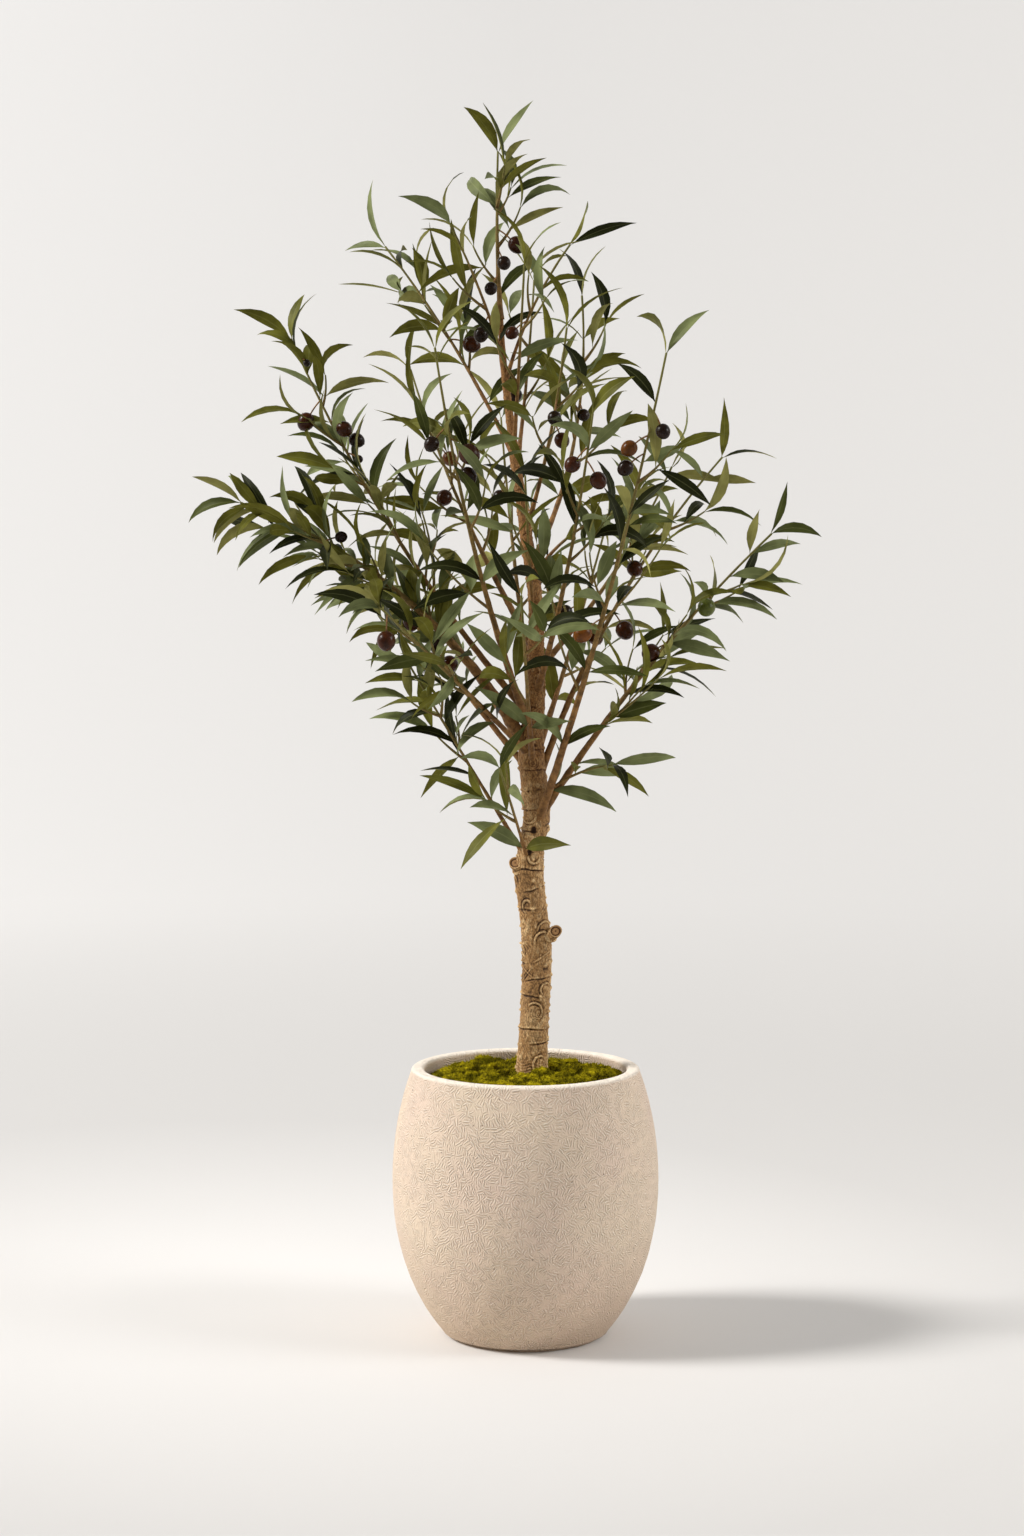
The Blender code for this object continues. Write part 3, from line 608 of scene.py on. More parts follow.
class Finish:
    """A material in the making: each call adds a node and gives back its output."""

    def __init__(self, name, roughness, specular=0.5):
        self.material = bpy.data.materials.new(name)
        self.material.use_nodes = True
        self.tree = self.material.node_tree
        self.shader = self.tree.nodes["Principled BSDF"]
        self.shader.inputs["Roughness"].default_value = roughness
        self.shader.inputs["Specular IOR Level"].default_value = specular
        self.place = self.node("TexCoord", out="Object")

    def node(self, kind, inputs=(), out=0, **settings):
        """The output, or a slice of them, of a new node with its inputs filled by name or by number."""
        node = self.tree.nodes.new("ShaderNode" + kind)
        for key, value in settings.items():
            setattr(node, key, value)
        for key, value in dict(inputs).items():
            self.feed(node.inputs[key], value)
        return node.outputs[out]

    def feed(self, socket, value):
        if isinstance(value, bpy.types.NodeSocket):
            self.tree.links.new(value, socket)
        elif hasattr(value, "__len__") and len(socket.default_value) == 4:
            socket.default_value = (*value, 1.0)
        else:
            socket.default_value = value

    def value(self, name):
        return self.node("Attribute", out="Fac", attribute_name=name)

    def split(self, vector=None):
        """The vector's three numbers, or the place's."""
        return self.node("SeparateXYZ", {0: vector or self.place}, slice(0, 3))

    def drawn_out(self, stretch):
        """Object coordinates, with all patterns longer along Z."""
        return self.node("Mapping", {"Vector": self.place, "Scale": (1.0, 1.0, stretch)})

    def noise(self, size, detail=3.0, rough=0.5, distortion=0.0, vector=None, out=0):
        inputs = {"Vector": vector or self.place, "Scale": 1.0 / size, "Detail": detail}
        return self.node("TexNoise", {**inputs, "Roughness": rough, "Distortion": distortion}, out)

    def cells(self, size, vector=None, out=0, feature="F1"):
        inputs = {"Vector": vector or self.place, "Scale": 1.0 / size}
        return self.node("TexVoronoi", inputs, out, feature=feature)

    def vector(self, operation, *values, out="Vector"):
        return self.node("VectorMath", enumerate(values), out, operation=operation)

    def maths(self, operation, *values):
        return self.node("Math", enumerate(values), operation=operation)

    def times(self, *values):
        return reduce(lambda one, other: self.maths("MULTIPLY", one, other), values)

    def minus(self, one, other):
        return self.maths("SUBTRACT", one, other)

    def distance(self, x, y):
        """Distance in plan from this place."""
        flat = self.vector("MULTIPLY", self.place, (1.0, 1.0, 0.0))
        return self.vector("DISTANCE", flat, (x, y, 0.0), out="Value")

    def strokes(self, group, stroke, waver):
        """(stripes from -1 to 1, share that fades at a group's edge): each group runs up or round."""
        half = (0.5, 0.5, 0.5)
        shift = self.vector("SUBTRACT", self.noise(0.7 * group, 1.0, out="Color"), half)
        bent = self.vector("ADD", self.place, self.vector("MULTIPLY", shift, 3 * (2.0 * waver,)))
        tone, middle = self.cells(group, bent, slice(1, 3))
        outward = self.vector("MULTIPLY", middle, (1.0, 1.0, 0.0))
        way = self.vector("CROSS_PRODUCT", self.vector("SUBTRACT", tone, half), outward)
        way = self.vector("NORMALIZE", way)
        along = self.times(self.vector("DOT_PRODUCT", bent, way, out="Value"), math.tau / stroke)
        edge = self.span(self.cells(group, bent, feature="DISTANCE_TO_EDGE"), 0.0, 0.13)
        return self.maths("SINE", along), edge

    def span(self, value, low, high, to_low=0.0, to_high=1.0):
        """The value's range from low to high, as a range from to_low to to_high, and no further."""
        return self.node("MapRange", enumerate((value, low, high, to_low, to_high)))

    def mix(self, share, first, second):
        return self.node("Mix", {0: share, 6: first, 7: second}, 2, data_type="RGBA")

    def stain(self, base, second, value, *limits):
        """The base, with the second colour where the value's span is high."""
        return self.mix(self.span(value, *limits), base, second)

    def bump(self, height, distance, strength=1.0):
        return self.node("Bump", {"Strength": strength, "Distance": distance, "Height": height})

    def done(self, base, normal=None, roughness=None):
        for name, value in (("Base Color", base), ("Normal", normal), ("Roughness", roughness)):
            if value:
                self.feed(self.shader.inputs[name], value)
        return self.material


def stone_finish(pot):
    """Cast stone: clouds of three tones, painted shade towards the foot, raised strokes in small groups with
    painted shade in the hollows between them, pits with painted shade inside, and painted light on the lip's
    top.
    """
    f = Finish("cast_stone", 0.86, 0.25)
    base = f.stain(pot.cast, pot.warm, f.noise(0.11, 2.0), 0.36, 0.66)
    base = f.stain(base, pot.grey, f.noise(0.06, 2.0, distortion=0.4), 0.42, 0.72, 0.0, 0.25)
    strokes, edge = f.strokes(0.0066, 0.0031, 0.0012)
    strokes = f.times(strokes, f.span(f.noise(0.011, 2.0), 0.34, 0.52, 0.5, 1.0), edge)
    # Painted shade: the hollows between the raised strokes take the darker hollow colour.
    base = f.stain(base, pot.hollow, strokes, -0.8, -0.1, 0.5, 0.0)
    base = f.stain(base, pot.pale, strokes, 0.25, 0.9, 0.0, 0.55)
    z = f.split()[2]
    # Painted shade: the stone darkens towards the foot, where less light reaches it.
    base = f.stain(base, srgb(176, 148, 118), z, 0.0, 0.15, 0.42, 0.0)
    # Painted light: the lip's upward-facing top is paled, as where light falls on it.
    base = f.stain(base, pot.pale, z, POT_HEIGHT - 0.004, POT_HEIGHT - 0.001, 0.0, 0.85)
    # Painted shade: the small pits are darkened inside with the pit colour, where the bump sinks them.
    pits = f.times(f.span(f.cells(0.0105), 0.05, 0.12, 1.0, 0.0), f.span(f.noise(0.012, 1.0), 0.54, 0.6))
    base = f.mix(f.times(pits, 0.7), base, pot.pit)
    height = f.maths("ADD", f.minus(strokes, f.times(pits, 1.5)), f.times(f.noise(0.0030, 2.0), 0.8))
    return f.done(base, f.bump(height, 0.0006))


def filling_finish():
    """Rough dark filling that carries the trunk."""
    f = Finish("potting_foam", 0.95)
    base = f.mix(f.noise(0.012, 4.0), srgb(58, 44, 32), srgb(92, 74, 54))
    return f.done(base, f.bump(f.noise(0.004), 0.001))


def moss_finish(moss):
    """Dyed moss: painted shade darkening the creases and the clumps' lower parts, yellow-green on the clumps'
    tops, and uneven from clump to clump.
    """
    f = Finish("dyed_moss", 0.95, 0.04)
    # Painted shade: the height mark darkens the moss from the clumps' tops down into the creases.
    base = f.stain(moss.deep, moss.bright, f.value("height"), 0.83, 1.16)
    base = f.stain(base, srgb(84, 84, 0), f.noise(0.02), 0.42, 0.68, 0.0, 0.4)
    base = f.stain(base, srgb(186, 170, 30), f.noise(0.0022, 2.0), 0.35, 0.7, 0.0, 0.4)
    return f.done(base, f.bump(f.noise(0.0015), 0.0012))


def bark_finish(wood):
    """Moulded bark: painted shade in the grooves and painted light on the ridges, grained like a fine file
    and greyer in places.
    """
    f = Finish("moulded_bark", 0.74, 0.25)
    relief = f.value("relief")
    # Painted shade and light: the relief mark darkens the grooves and lightens the ridges.
    base = f.stain(wood.groove, wood.bark, relief, 0.04, 0.40)
    base = f.stain(base, wood.ridge, relief, 0.48, 0.92)
    base = f.stain(base, srgb(140, 112, 78), f.noise(0.026), 0.38, 0.68, 0.0, 0.25)
    base = f.stain(base, srgb(156, 98, 46), f.split()[2], 0.62, 0.78, 0.0, 0.45)
    fibres = f.noise(0.0011, 3.0, 0.6, vector=f.drawn_out(0.3))
    grains = f.cells(0.0017, f.drawn_out(0.7))
    base = f.stain(base, wood.groove, fibres, 0.36, 0.58, 0.45, 0.0)
    base = f.stain(base, wood.groove, grains, 0.42, 0.75, 0.0, 0.5)
    return f.done(base, f.bump(f.minus(fibres, f.times(grains, 0.7)), 0.0006, 0.8))


def cut_finish():
    """A limb's cut face: a tan rim, a dark ring of painted shade just inside it, then orange-brown wood round
    a dark heart.
    """
    f = Finish("cut_wood", 0.7, 0.25)
    ring = f.value("relief")
    # The low end of the ring mark is dark: painted shade in the ring just inside the rim, and the heart's own
    # dark wood.
    base = f.stain(srgb(62, 38, 18), srgb(170, 128, 82), ring, 0.0, 0.5)
    base = f.stain(base, srgb(206, 168, 120), ring, 0.6, 1.0)
    grain = f.noise(0.0012)
    base = f.stain(base, srgb(92, 58, 28), grain, 0.4, 0.6, 0.35, 0.0)
    return f.done(base, f.bump(grain, 0.0003, 0.6))


def limb_finish(wood):
    """Limbs and twigs: bark brown at the foot, yellow-green at the tips, with small lenticels."""
    f = Finish("limb_skin", 0.62, 0.25)
    base = f.stain(srgb(102, 70, 36), srgb(154, 112, 64), f.noise(0.008), 0.35, 0.65)
    base = f.stain(base, wood.twig, f.value("age"), 0.45, 1.0)
    base = f.stain(base, srgb(70, 45, 22), f.noise(0.0022, 2.0), 0.55, 0.7, 0.0, 0.55)
    fibres = f.noise(0.0012, 2.0, vector=f.drawn_out(0.3))
    return f.done(base, f.bump(fibres, 0.0003, 0.6))


def leaf_finish(name, tint, under):
    """A leaf's side: a pale midrib, faint veins that run out from it, and blotches of painted light and shade
    that stand in for the satin sheen across it.
    """
    f = Finish(name, 0.5, 0.03 if under else 0.07)
    along, across, _ = f.split(f.node("UVMap", uv_map="leaf"))
    beside = f.maths("ABSOLUTE", f.minus(across, 0.5))
    rib = f.span(beside, 0.012, 0.055, 1.0, 0.0)
    slope = f.minus(f.times(along, 34.0), f.times(beside, 26.0))
    veins = f.span(f.maths("SINE", f.times(slope, 3.1)), 0.2, 1.0)
    tint = np.array(tint)
    light = 0.7 * tint + 0.3 * np.array(srgb(176, 178, 124))
    # Painted light and shade: noise blotches lighten and darken the tint, standing in for the leaf's satin
    # sheen.
    base = f.stain(1.08 * tint, 0.5 * tint, f.noise(0.024, 2.0), 0.38, 0.66, 0.0, 0.75)
    base = f.mix(f.times(veins, 0.16), base, light)
    base = f.mix(f.times(rib, 0.45), base, light)
    rough = f.span(f.noise(0.006, 2.0), 0.3, 0.7, *((0.48, 0.62) if under else (0.36, 0.5)))
    height = f.minus(f.times(veins, 0.3), f.times(rib, -1.0 if under else 0.7))
    return f.done(base, f.bump(height, 0.0003, 0.5), rough)


def olive_finish(name, tint):
    """A glossy olive, with a skin that clouds from one tone to a deeper one and small pale specks."""
    f = Finish(name, 0.22, 0.22)
    tint = np.array(tint)
    base = f.stain(tint, 0.45 * tint, f.noise(0.011, 2.0), 0.35, 0.68)
    base = f.stain(base, np.minimum(1.0, 2.6 * tint + 0.01), f.cells(0.0021), 0.1, 0.22, 0.2, 0.0)
    return f.done(base, f.bump(f.noise(0.0035, 2.0), 0.0002, 0.4))


def paper_finish(paper):
    """Matt paper with painted light: a painted pool of light left of the pot, and further off a darker base
    colour under a painted glow that rises upward and towards the back, most at the left.
    """
    f = Finish("studio_paper_painted_light", 0.9, 0.1)
    paper = np.array(paper)
    x, y, z = f.split()
    # Painted light: a pool of light painted round a point left of the pot, with the paper darkening away from
    # it.
    tone = f.stain(paper, 0.79 * paper, f.distance(-0.42, 0.2), 0.15, 1.15)
    # Painted light: beyond the pot the paper takes a darker base colour and glows instead, more at the left,
    # higher up and further back.
    painted_glow_far = f.span(f.distance(0.0, 0.0), 0.7, 4.5)
    across = f.times(f.span(x, -2.2, 0.0, 1.38, 1.0), f.span(x, 0.0, 2.4, 0.92, 0.78))
    painted_glow_up_and_back = f.times(f.span(z, 0.0, 3.4, 0.38, 0.53), f.span(y, -3.5, 1.0, 0.08, 1.0))
    f.feed(f.shader.inputs["Emission Strength"], f.times(painted_glow_far, across, painted_glow_up_and_back))
    f.feed(f.shader.inputs["Emission Color"], (1.0, 0.985, 0.965))
    f.material.cycles.emission_sampling = "NONE"
    return f.done(f.mix(painted_glow_far, tone, 0.5 * paper))


# Pieces


def pot_radius(z):
    """Outer radius of the pot: an ellipse's arc below the belly and another above it."""
    above = z >= BELLY_HEIGHT
    end_height = np.where(above, POT_HEIGHT, 0.0)
    end_radius = np.where(above, RIM_RADIUS, FOOT_RADIUS)
    share = np.sqrt(1.0 - (end_radius / BELLY_RADIUS) ** 2) * (z - BELLY_HEIGHT) / (end_height - BELLY_HEIGHT)
    return BELLY_RADIUS * np.sqrt(1.0 - share**2)


def arc(middle_radius, middle_height, size, first, last, count):
    """(radii, heights) along part of a circle, from one angle to another in degrees."""
    angle = np.radians(np.linspace(first, last, count))
    return middle_radius + size * np.cos(angle), middle_height + size * np.sin(angle)


def pot_mesh(pot):
    """The pot as a profile turned about Z: foot ring, undercut, up the side, over the lip and down the bore.

    The side swells by three layers of smooth noise, which fade out at the foot and at the lip.
    """
    size = pot.lip_round
    foot, axis_gap, columns = 0.0042, 0.004, 380
    low, high = foot + 0.003, POT_HEIGHT - size
    up = np.linspace(low, high, 150)[1:-1]
    down = np.linspace(high, POT_FLOOR, 26)[1:]
    edge, lip, floor = pot_radius(np.array((low, high, POT_FLOOR)))
    under = np.array(((0.0, 0.0, 0.0055, 0.0082, 0.0090), (-0.0008, 0.0, 0.0, 0.0006, 0.0018)))
    base = (
        (np.linspace(axis_gap, edge - 0.0096, 6), np.zeros(6)),
        (edge - 0.0095 + under[0], foot + under[1]),
    )
    rest = (
        arc(lip - size, high, size, 0.0, 90.0, 7),
        arc(lip - POT_WALL + size, high, size, 90.0, 180.0, 7),
        (pot_radius(down) - POT_WALL, down),
        (np.linspace(floor - POT_WALL - axis_gap, axis_gap, 6), np.full(6, POT_FLOOR)),
    )
    rings, out = spun((*base, (pot_radius(up), up), *rest), columns)
    first = sum(len(part[0]) for part in base)
    share = np.linspace(0.0, 1.0, len(up))
    fade = np.zeros((len(rings), 1))
    fade[first : first + len(up), 0] = ramp(12.0 * np.minimum(share, 1.0 - share))
    swell = layers(rings, (0.6, 0.045, 1, 1.0), (0.4, 0.013, 2, 1.0), (0.35, 0.006, 3, 1.0))
    batch = Batch()
    batch.add(rings + (pot.unevenness * fade * swell)[..., None] * out)
    return batch.mesh("pot_shell", "plain")


def clumps(moss):
    """Middles, radii and heights of the moss's clumps, on a shaken grid of triangles."""
    rng = np.random.default_rng(SEED)
    step = moss.clump_spacing
    across, along = np.meshgrid(np.arange(-8, 9), np.arange(-9, 10), indexing="ij")
    x = (across + 0.5 * (along % 2)) * step + rng.uniform(-0.3, 0.3, across.shape) * step
    y = along * 0.87 * step + rng.uniform(-0.3, 0.3, across.shape) * step
    keep = np.hypot(x, y) < 0.128
    x, y = x[keep], y[keep]
    sizes = rng.uniform(0.42, 0.74, len(x)) * step
    tops = rng.uniform(0.28, 0.58, len(x)) * step
    return x, y, sizes, tops


def moss_height(x, y, moss):
    """(height, share of its clump's height that the moss's colour uses as painted shade): the highest of all
    clumps' domes, roughened by fine noise.
    """
    reach, shift, rise = 0.127, 0.0035, 0.004
    out = np.hypot(x, y)
    flat = np.stack([x, y, 0.0 * x], axis=-1)
    bent_x = x + shift * mottle(flat, 0.012, 31)
    bent_y = y + shift * mottle(flat, 0.012, 32)
    dome, crown = np.zeros(x.shape), np.zeros(x.shape)
    for middle_x, middle_y, size, top in zip(*clumps(moss)):
        near = ((bent_x - middle_x) ** 2 + (bent_y - middle_y) ** 2) / size**2
        lift = np.sqrt(np.maximum(0.0, 1.0 - near))
        crown = np.where(top * lift > dome, lift, crown)
        dome = np.maximum(dome, top * lift)
    edge = ramp((reach - out) / 0.022)
    dome = dome * (0.35 + 0.65 * edge)
    rough = layers(flat, (0.0016, 0.0055, 33, 1.0), (0.0011, 0.0026, 34, 1.0))
    mound = rise * (1.0 - (out / reach) ** 2)
    height = moss.level + mound + dome + rough * (0.4 + 0.6 * edge) - rise * (1.0 - edge)
    # The second value is a mark for painted shade: low in the creases, high on the clumps' crowns.
    return height, 0.85 * crown + 0.25 * dome / 0.0125 + rough / 0.008


def moss_mesh(moss):
    """The moss as one closed band: its clumped top from the pot's wall to the trunk, then its flat underside.

    The top's points lie on lines from the trunk's foot to the wall, lifted by moss_height.
    """
    rows, columns, clearance, inner = 118, 400, 0.0006, 0.0180
    share = np.linspace(1.0, 0.0, rows)[:, None]
    angles = turns(columns)
    wall = float(pot_radius(np.array(moss.level))) - POT_WALL - clearance
    x = (TRUNK_X[0] + inner * np.cos(angles)) * (1.0 - share) + wall * np.cos(angles) * share
    y = inner * np.sin(angles) * (1.0 - share) + wall * np.sin(angles) * share
    z, height = moss_height(x, y, moss)
    top = np.stack([x, y, z], axis=-1)
    under = top[[-1, rows // 2 - 1, 0]]
    under[..., 2] = CORE_TOP + clearance
    rings = np.concatenate([top, under])
    mesh = surface("moss_cushions", rings.reshape(-1, 3), grid_faces(*rings.shape[:2], closed_rows=True))
    # The height mark carries painted shade, dark in the creases and on the hidden underside.
    mark(mesh, "height", np.concatenate([height, np.zeros(under.shape[:2])]))
    return mesh


def tuft_mesh(moss):
    """Tufts: thin three-sided points that stand on the moss's top, each leaning its own way, with painted
    shade at their feet and in the creases.
    """
    rng = np.random.default_rng(SEED + 5)
    count, reach, sunk, thick = moss.tufts, 0.124, 0.0008, 0.00062
    out = reach * np.sqrt(rng.uniform(0.022, 1.0, count))
    angle = rng.uniform(0.0, math.tau, count)
    x, y = out * np.cos(angle), out * np.sin(angle)
    z, height = moss_height(x, y, moss)
    step = 0.0012
    slope_x = (moss_height(x + step, y, moss)[0] - z) / step
    slope_y = (moss_height(x, y + step, moss)[0] - z) / step
    normal = unit(np.stack([-slope_x, -slope_y, np.ones(count)], axis=-1))
    lean = unit(normal + 0.55 * rng.normal(size=(count, 3)))
    lean[:, 2] = np.abs(lean[:, 2])
    size = moss.tuft_length * rng.uniform(0.5, 1.15, count) * np.clip(0.45 + height, 0.4, 1.1)
    side = np.cross(lean, (0.3, 0.9, 0.2))
    foot = np.stack([x, y, z], axis=-1) - normal * sunk
    width = thick * rng.uniform(0.7, 1.3, count)
    base = rings_round(foot, lean, side, width[:, None], 3)
    tip = foot + lean * size[:, None]
    points = np.concatenate([base, tip[:, None, :]], axis=1).reshape(-1, 3)
    tuft = np.array(((0, 1, 3), (1, 2, 3), (2, 0, 3), (2, 1, 0)))
    mesh = surface("moss_tufts", points, (tuft + 4 * np.arange(count)[:, None, None]).reshape(-1, 3))
    # Painted shade: each tuft is darker at its foot and in the creases, and lighter at its tip.
    shade = np.clip(height + rng.uniform(-0.12, 0.12, count), 0.0, 1.2)
    mark(mesh, "height", np.stack([0.7 * shade] * 3 + [shade + 0.15], axis=-1))
    return mesh


def wrapped(angles):
    """Angles brought to between half a turn back and half a turn on."""
    return (angles + math.pi) % math.tau - math.pi


def bark_relief(angles, z, radius, points, relief):
    """Height of the bark over its even surface.

    Rings go part of the way round, a ridge over a groove, with nubs where a shoot once left. Arches are
    parts of circles with a groove on either side, loops are cosine waves round scattered middles, seams are
    slanting ridges, nodules small round humps, the two scars wide humps with a pit, and grain smooth noise.
    """
    rng = np.random.default_rng(SEED + 9)
    ring_width, arch_width, seam_width = 0.0012, 0.00098, 0.00085
    arch_reach, loop_reach, seam_reach = 0.03, 0.0074, 0.013
    loop_wave, wrinkle_wave = 0.0026, 0.0036

    def beside(turn):
        """Distance along the bark from the line at this turn."""
        return wrapped(angles - turn) * radius

    def hump(turn, middle, wide, tall):
        """A round hump of height one: e^-d^2, with d the distance on the bark in widths and heights of it."""
        return bell(np.hypot(beside(turn) / wide, (z - middle) / tall))

    middling = (0.6 * relief, 0.0030, 41, 0.6)
    fine = (0.45 * relief, 0.0015, 42, 0.4)
    coarse = (0.6 * relief, 0.014, 43, 0.5)
    height = layers(points, middling, fine, coarse)
    waver = layers(points, (0.0009, 0.007, 44, 0.05))
    patches = ramp(0.75 + 0.9 * mottle(points, 0.009, 45))
    for middle in 0.330 + 0.9 * np.linspace(0.0, 1.0, 38) ** 1.15:
        turn, lift = rng.uniform(0.0, math.tau), rng.uniform(-0.002, 0.004)
        facing = np.cos(angles - turn)
        off = (z - (middle + lift * facing + waver)) / ring_width
        part = ramp(1.7 * facing + 1.0) * patches
        height += relief * part * (0.8 * bell(off) - 2.1 * bell(1.2 * off + 2.0))
        for side in (0.0, math.pi, rng.uniform(0.0, math.tau)):
            size = rng.uniform(0.0012, 0.0022)
            nub = middle + lift * math.cos(side - turn)
            height += 0.8 * size * hump(side + rng.uniform(-0.3, 0.3), nub, size, 1.4 * size)
    for middle in 0.312 + 0.72 * np.linspace(0.0, 1.0, 48) ** 1.1:
        turn, facing = rng.uniform(0.0, math.tau), rng.choice((90.0, 90.0, 270.0, 40.0, 140.0))
        size = rng.uniform(0.006, 0.0125)
        wide = beside(turn)
        tall = (z - middle) * rng.uniform(0.7, 1.1)
        away = np.abs(np.hypot(wide, tall) - size) / arch_width
        part = ramp(1.6 * np.cos(np.arctan2(tall, wide) - math.radians(facing)) + 0.5)
        height += relief * part * bell(wide / arch_reach) * (1.7 * bell(away) - 1.3 * bell(away - 2.0))
    for middle in 0.318 + 0.8 * np.linspace(0.0, 1.0, 34) ** 1.1:
        turn, size = rng.uniform(0.0, math.tau), rng.uniform(0.8, 1.3)
        tall = z - middle
        away = np.hypot(beside(turn), tall * np.where(tall > 0.0, 0.55, 1.1))
        waves = np.cos(math.tau * away / (loop_wave * size))
        height += 0.9 * relief * waves * bell(away / (loop_reach * size))
    for middle in rng.uniform(0.33, 0.85, 24):
        turn, slope = rng.uniform(0.0, math.tau), rng.choice((-1.0, 1.0)) * rng.uniform(0.5, 1.6)
        wide = beside(turn)
        off = (z - middle - slope * wide) / math.hypot(1.0, slope) / seam_width
        within = bell((np.hypot(wide, z - middle) / seam_reach) ** 2)
        height += 0.8 * relief * within * (bell(off) - bell(np.abs(off) - 2.0))
    for middle in np.arange(0.335, 1.02, 0.025):
        for side in (0.0, math.pi, rng.uniform(0.0, math.tau)):
            turn, place = side + rng.uniform(-0.5, 0.5), middle + rng.uniform(-0.009, 0.009)
            size = rng.uniform(0.0011, 0.0021)
            height += 0.85 * size * hump(turn, place, size, 1.3 * size)
            height -= 0.25 * size * hump(turn, place - 2.4 * size, 2.0 * size, size)
    for middle, turn, deep in ((0.598, 262, 0.0030), (0.624, 265, 0.0028)):
        height += 0.5 * deep * hump(math.radians(turn), middle, 0.0058, 0.0078)
        height -= 1.5 * deep * hump(math.radians(turn), middle, 0.0030, 0.0046)
    wrinkles = np.sin(math.tau * (z + 0.0015 * np.sin(5.0 * angles)) / wrinkle_wave)
    height += 0.45 * relief * wrinkles * ramp((0.347 - z) / 0.015)
    return height * np.clip((1.24 - z) / 0.2, 0.25, 1.0) * np.clip(radius / 0.014, 0.35, 1.0)


def trunk_mesh(name, wood):
    """A length of the trunk: rings round its course, swollen at stubs and limbs, with the bark's relief."""
    low, high, rows, columns = TRUNK_LENGTHS[name]
    z = np.linspace(low, high, rows)
    axis = trunk_points(z)
    ahead = unit(np.gradient(axis, axis=0))
    radius = hermite(z, TRUNK_Z, TRUNK_RADIUS)[:, None]
    z = z[:, None]
    angles = turns(columns)
    lap, sunk, lap_at_tip = 0.006, 0.0008, 0.004
    tuck = ramp((low + lap - z) / lap) * (low > 0.5) + ramp((z - high + lap_at_tip) / lap_at_tip)
    girth = radius - sunk * tuck * (radius > 0.005) + 0.0 * angles
    lifted, stub_swelling, stub_reach = 0.014, 0.0030, 0.010
    for stub in STUBS:
        above = z - stub.height - lifted
        beside = wrapped(angles - math.radians(stub.azimuth)) * 0.017
        away = np.hypot(beside, above * np.where(above < 0.0, 0.36, 1.0))
        girth += stub_swelling * bell(away / stub_reach)
    for shoot in SHOOTS[:-1]:
        beside = wrapped(angles - math.radians(shoot.azimuth)) * radius
        collar = shoot.height + 0.8 * radius
        girth += 0.32 * shoot.radius * bell(np.hypot(beside, z - collar) / (2.4 * shoot.radius + 0.002))
    across = np.array((1.0, 0.0, 0.0))
    even = rings_round(axis, ahead, across, girth, columns)
    height = bark_relief(angles, z, radius, even, wood.relief)
    batch = Batch()
    # The relief mark becomes painted shade in the bark's grooves and painted light on its ridges.
    marks = ramp(0.5 + height / (2.8 * wood.relief))
    batch.add(rings_round(axis, ahead, across, girth + height, columns), marks)
    return batch.mesh(name, "relief")


def stub_mesh():
    """Cut stubs: a profile with a collar carried round each axis, cut slanting so that it faces outward."""
    batch = Batch()
    columns, side_rows, face_rows = 56, 60, 30
    s = np.linspace(0.0, 1.0, side_rows)
    face = np.linspace(0.985, 0.04, face_rows)
    on_face = np.repeat((0, 1), (side_rows, face_rows))
    collar = 0.20 * bell((s - 0.72) / 0.055) - 0.07 * bell((s - 0.83) / 0.03)
    side = 1.02 + 0.30 * np.exp(-s * 4.5) + collar - 0.05 * ramp((s - 0.975) / 0.025)
    rim = 1.0 / (1.0 + np.exp((0.84 - face) / 0.02))
    groove = bell((face - 0.70) / 0.12)
    heart = bell(face / 0.16)
    waves = np.cos(math.tau * face * 6.0) * (1.0 - rim)
    sunk = -0.0013 * groove - 0.0005 * (1.0 - rim) - 0.0004 * heart + 0.00012 * waves
    # Painted shade: the groove inside the rim is marked dark as shade, while the rim, heart and growth rings
    # are the wood's own.
    rings_and_painted_shade = 0.5 + 0.5 * rim - 0.55 * groove - 0.45 * heart + 0.08 * waves
    for stub in STUBS:
        foot = trunk_points(np.array([stub.height]))[0]
        ahead = direction(stub.azimuth, stub.lean)
        across = np.cross(ahead, UP)
        radii = stub.radius * np.concatenate([side, face * 0.97])[:, None]
        places = np.concatenate([s * (stub.length - 0.0004), stub.length + sunk])
        points = foot + ahead * places[:, None]
        along = np.broadcast_to(ahead, points.shape)
        even = rings_round(points, along, across, radii, columns)
        rough = layers(even, (0.00035, 0.0026, 51, 0.5), (0.00025, 0.0012, 52, 1.0))
        rough = rough * np.where(on_face, 0.2, 1.0)[:, None]
        rings = rings_round(points, along, across, radii + rough, columns)
        toward = unit(STUB_FACING - ahead * ahead.dot(STUB_FACING))
        slant = (rings - points[:, None, :]) @ toward * STUB_CUT
        slant = slant * np.concatenate([ramp((s - 0.55) / 0.4), np.ones(face_rows)])[:, None]
        # The side's relief mark becomes painted shade in its low parts and painted light on the raised
        # collar.
        bark = 0.5 + rough[:side_rows] / 0.0011 + 1.6 * collar[:, None]
        marks = np.concatenate([bark, np.repeat(rings_and_painted_shade[:, None], columns, axis=1)])
        batch.add(rings - ahead * slant[..., None], ramp(marks), slots=on_face[:-1])
    return batch.mesh("cut_stubs", "relief")


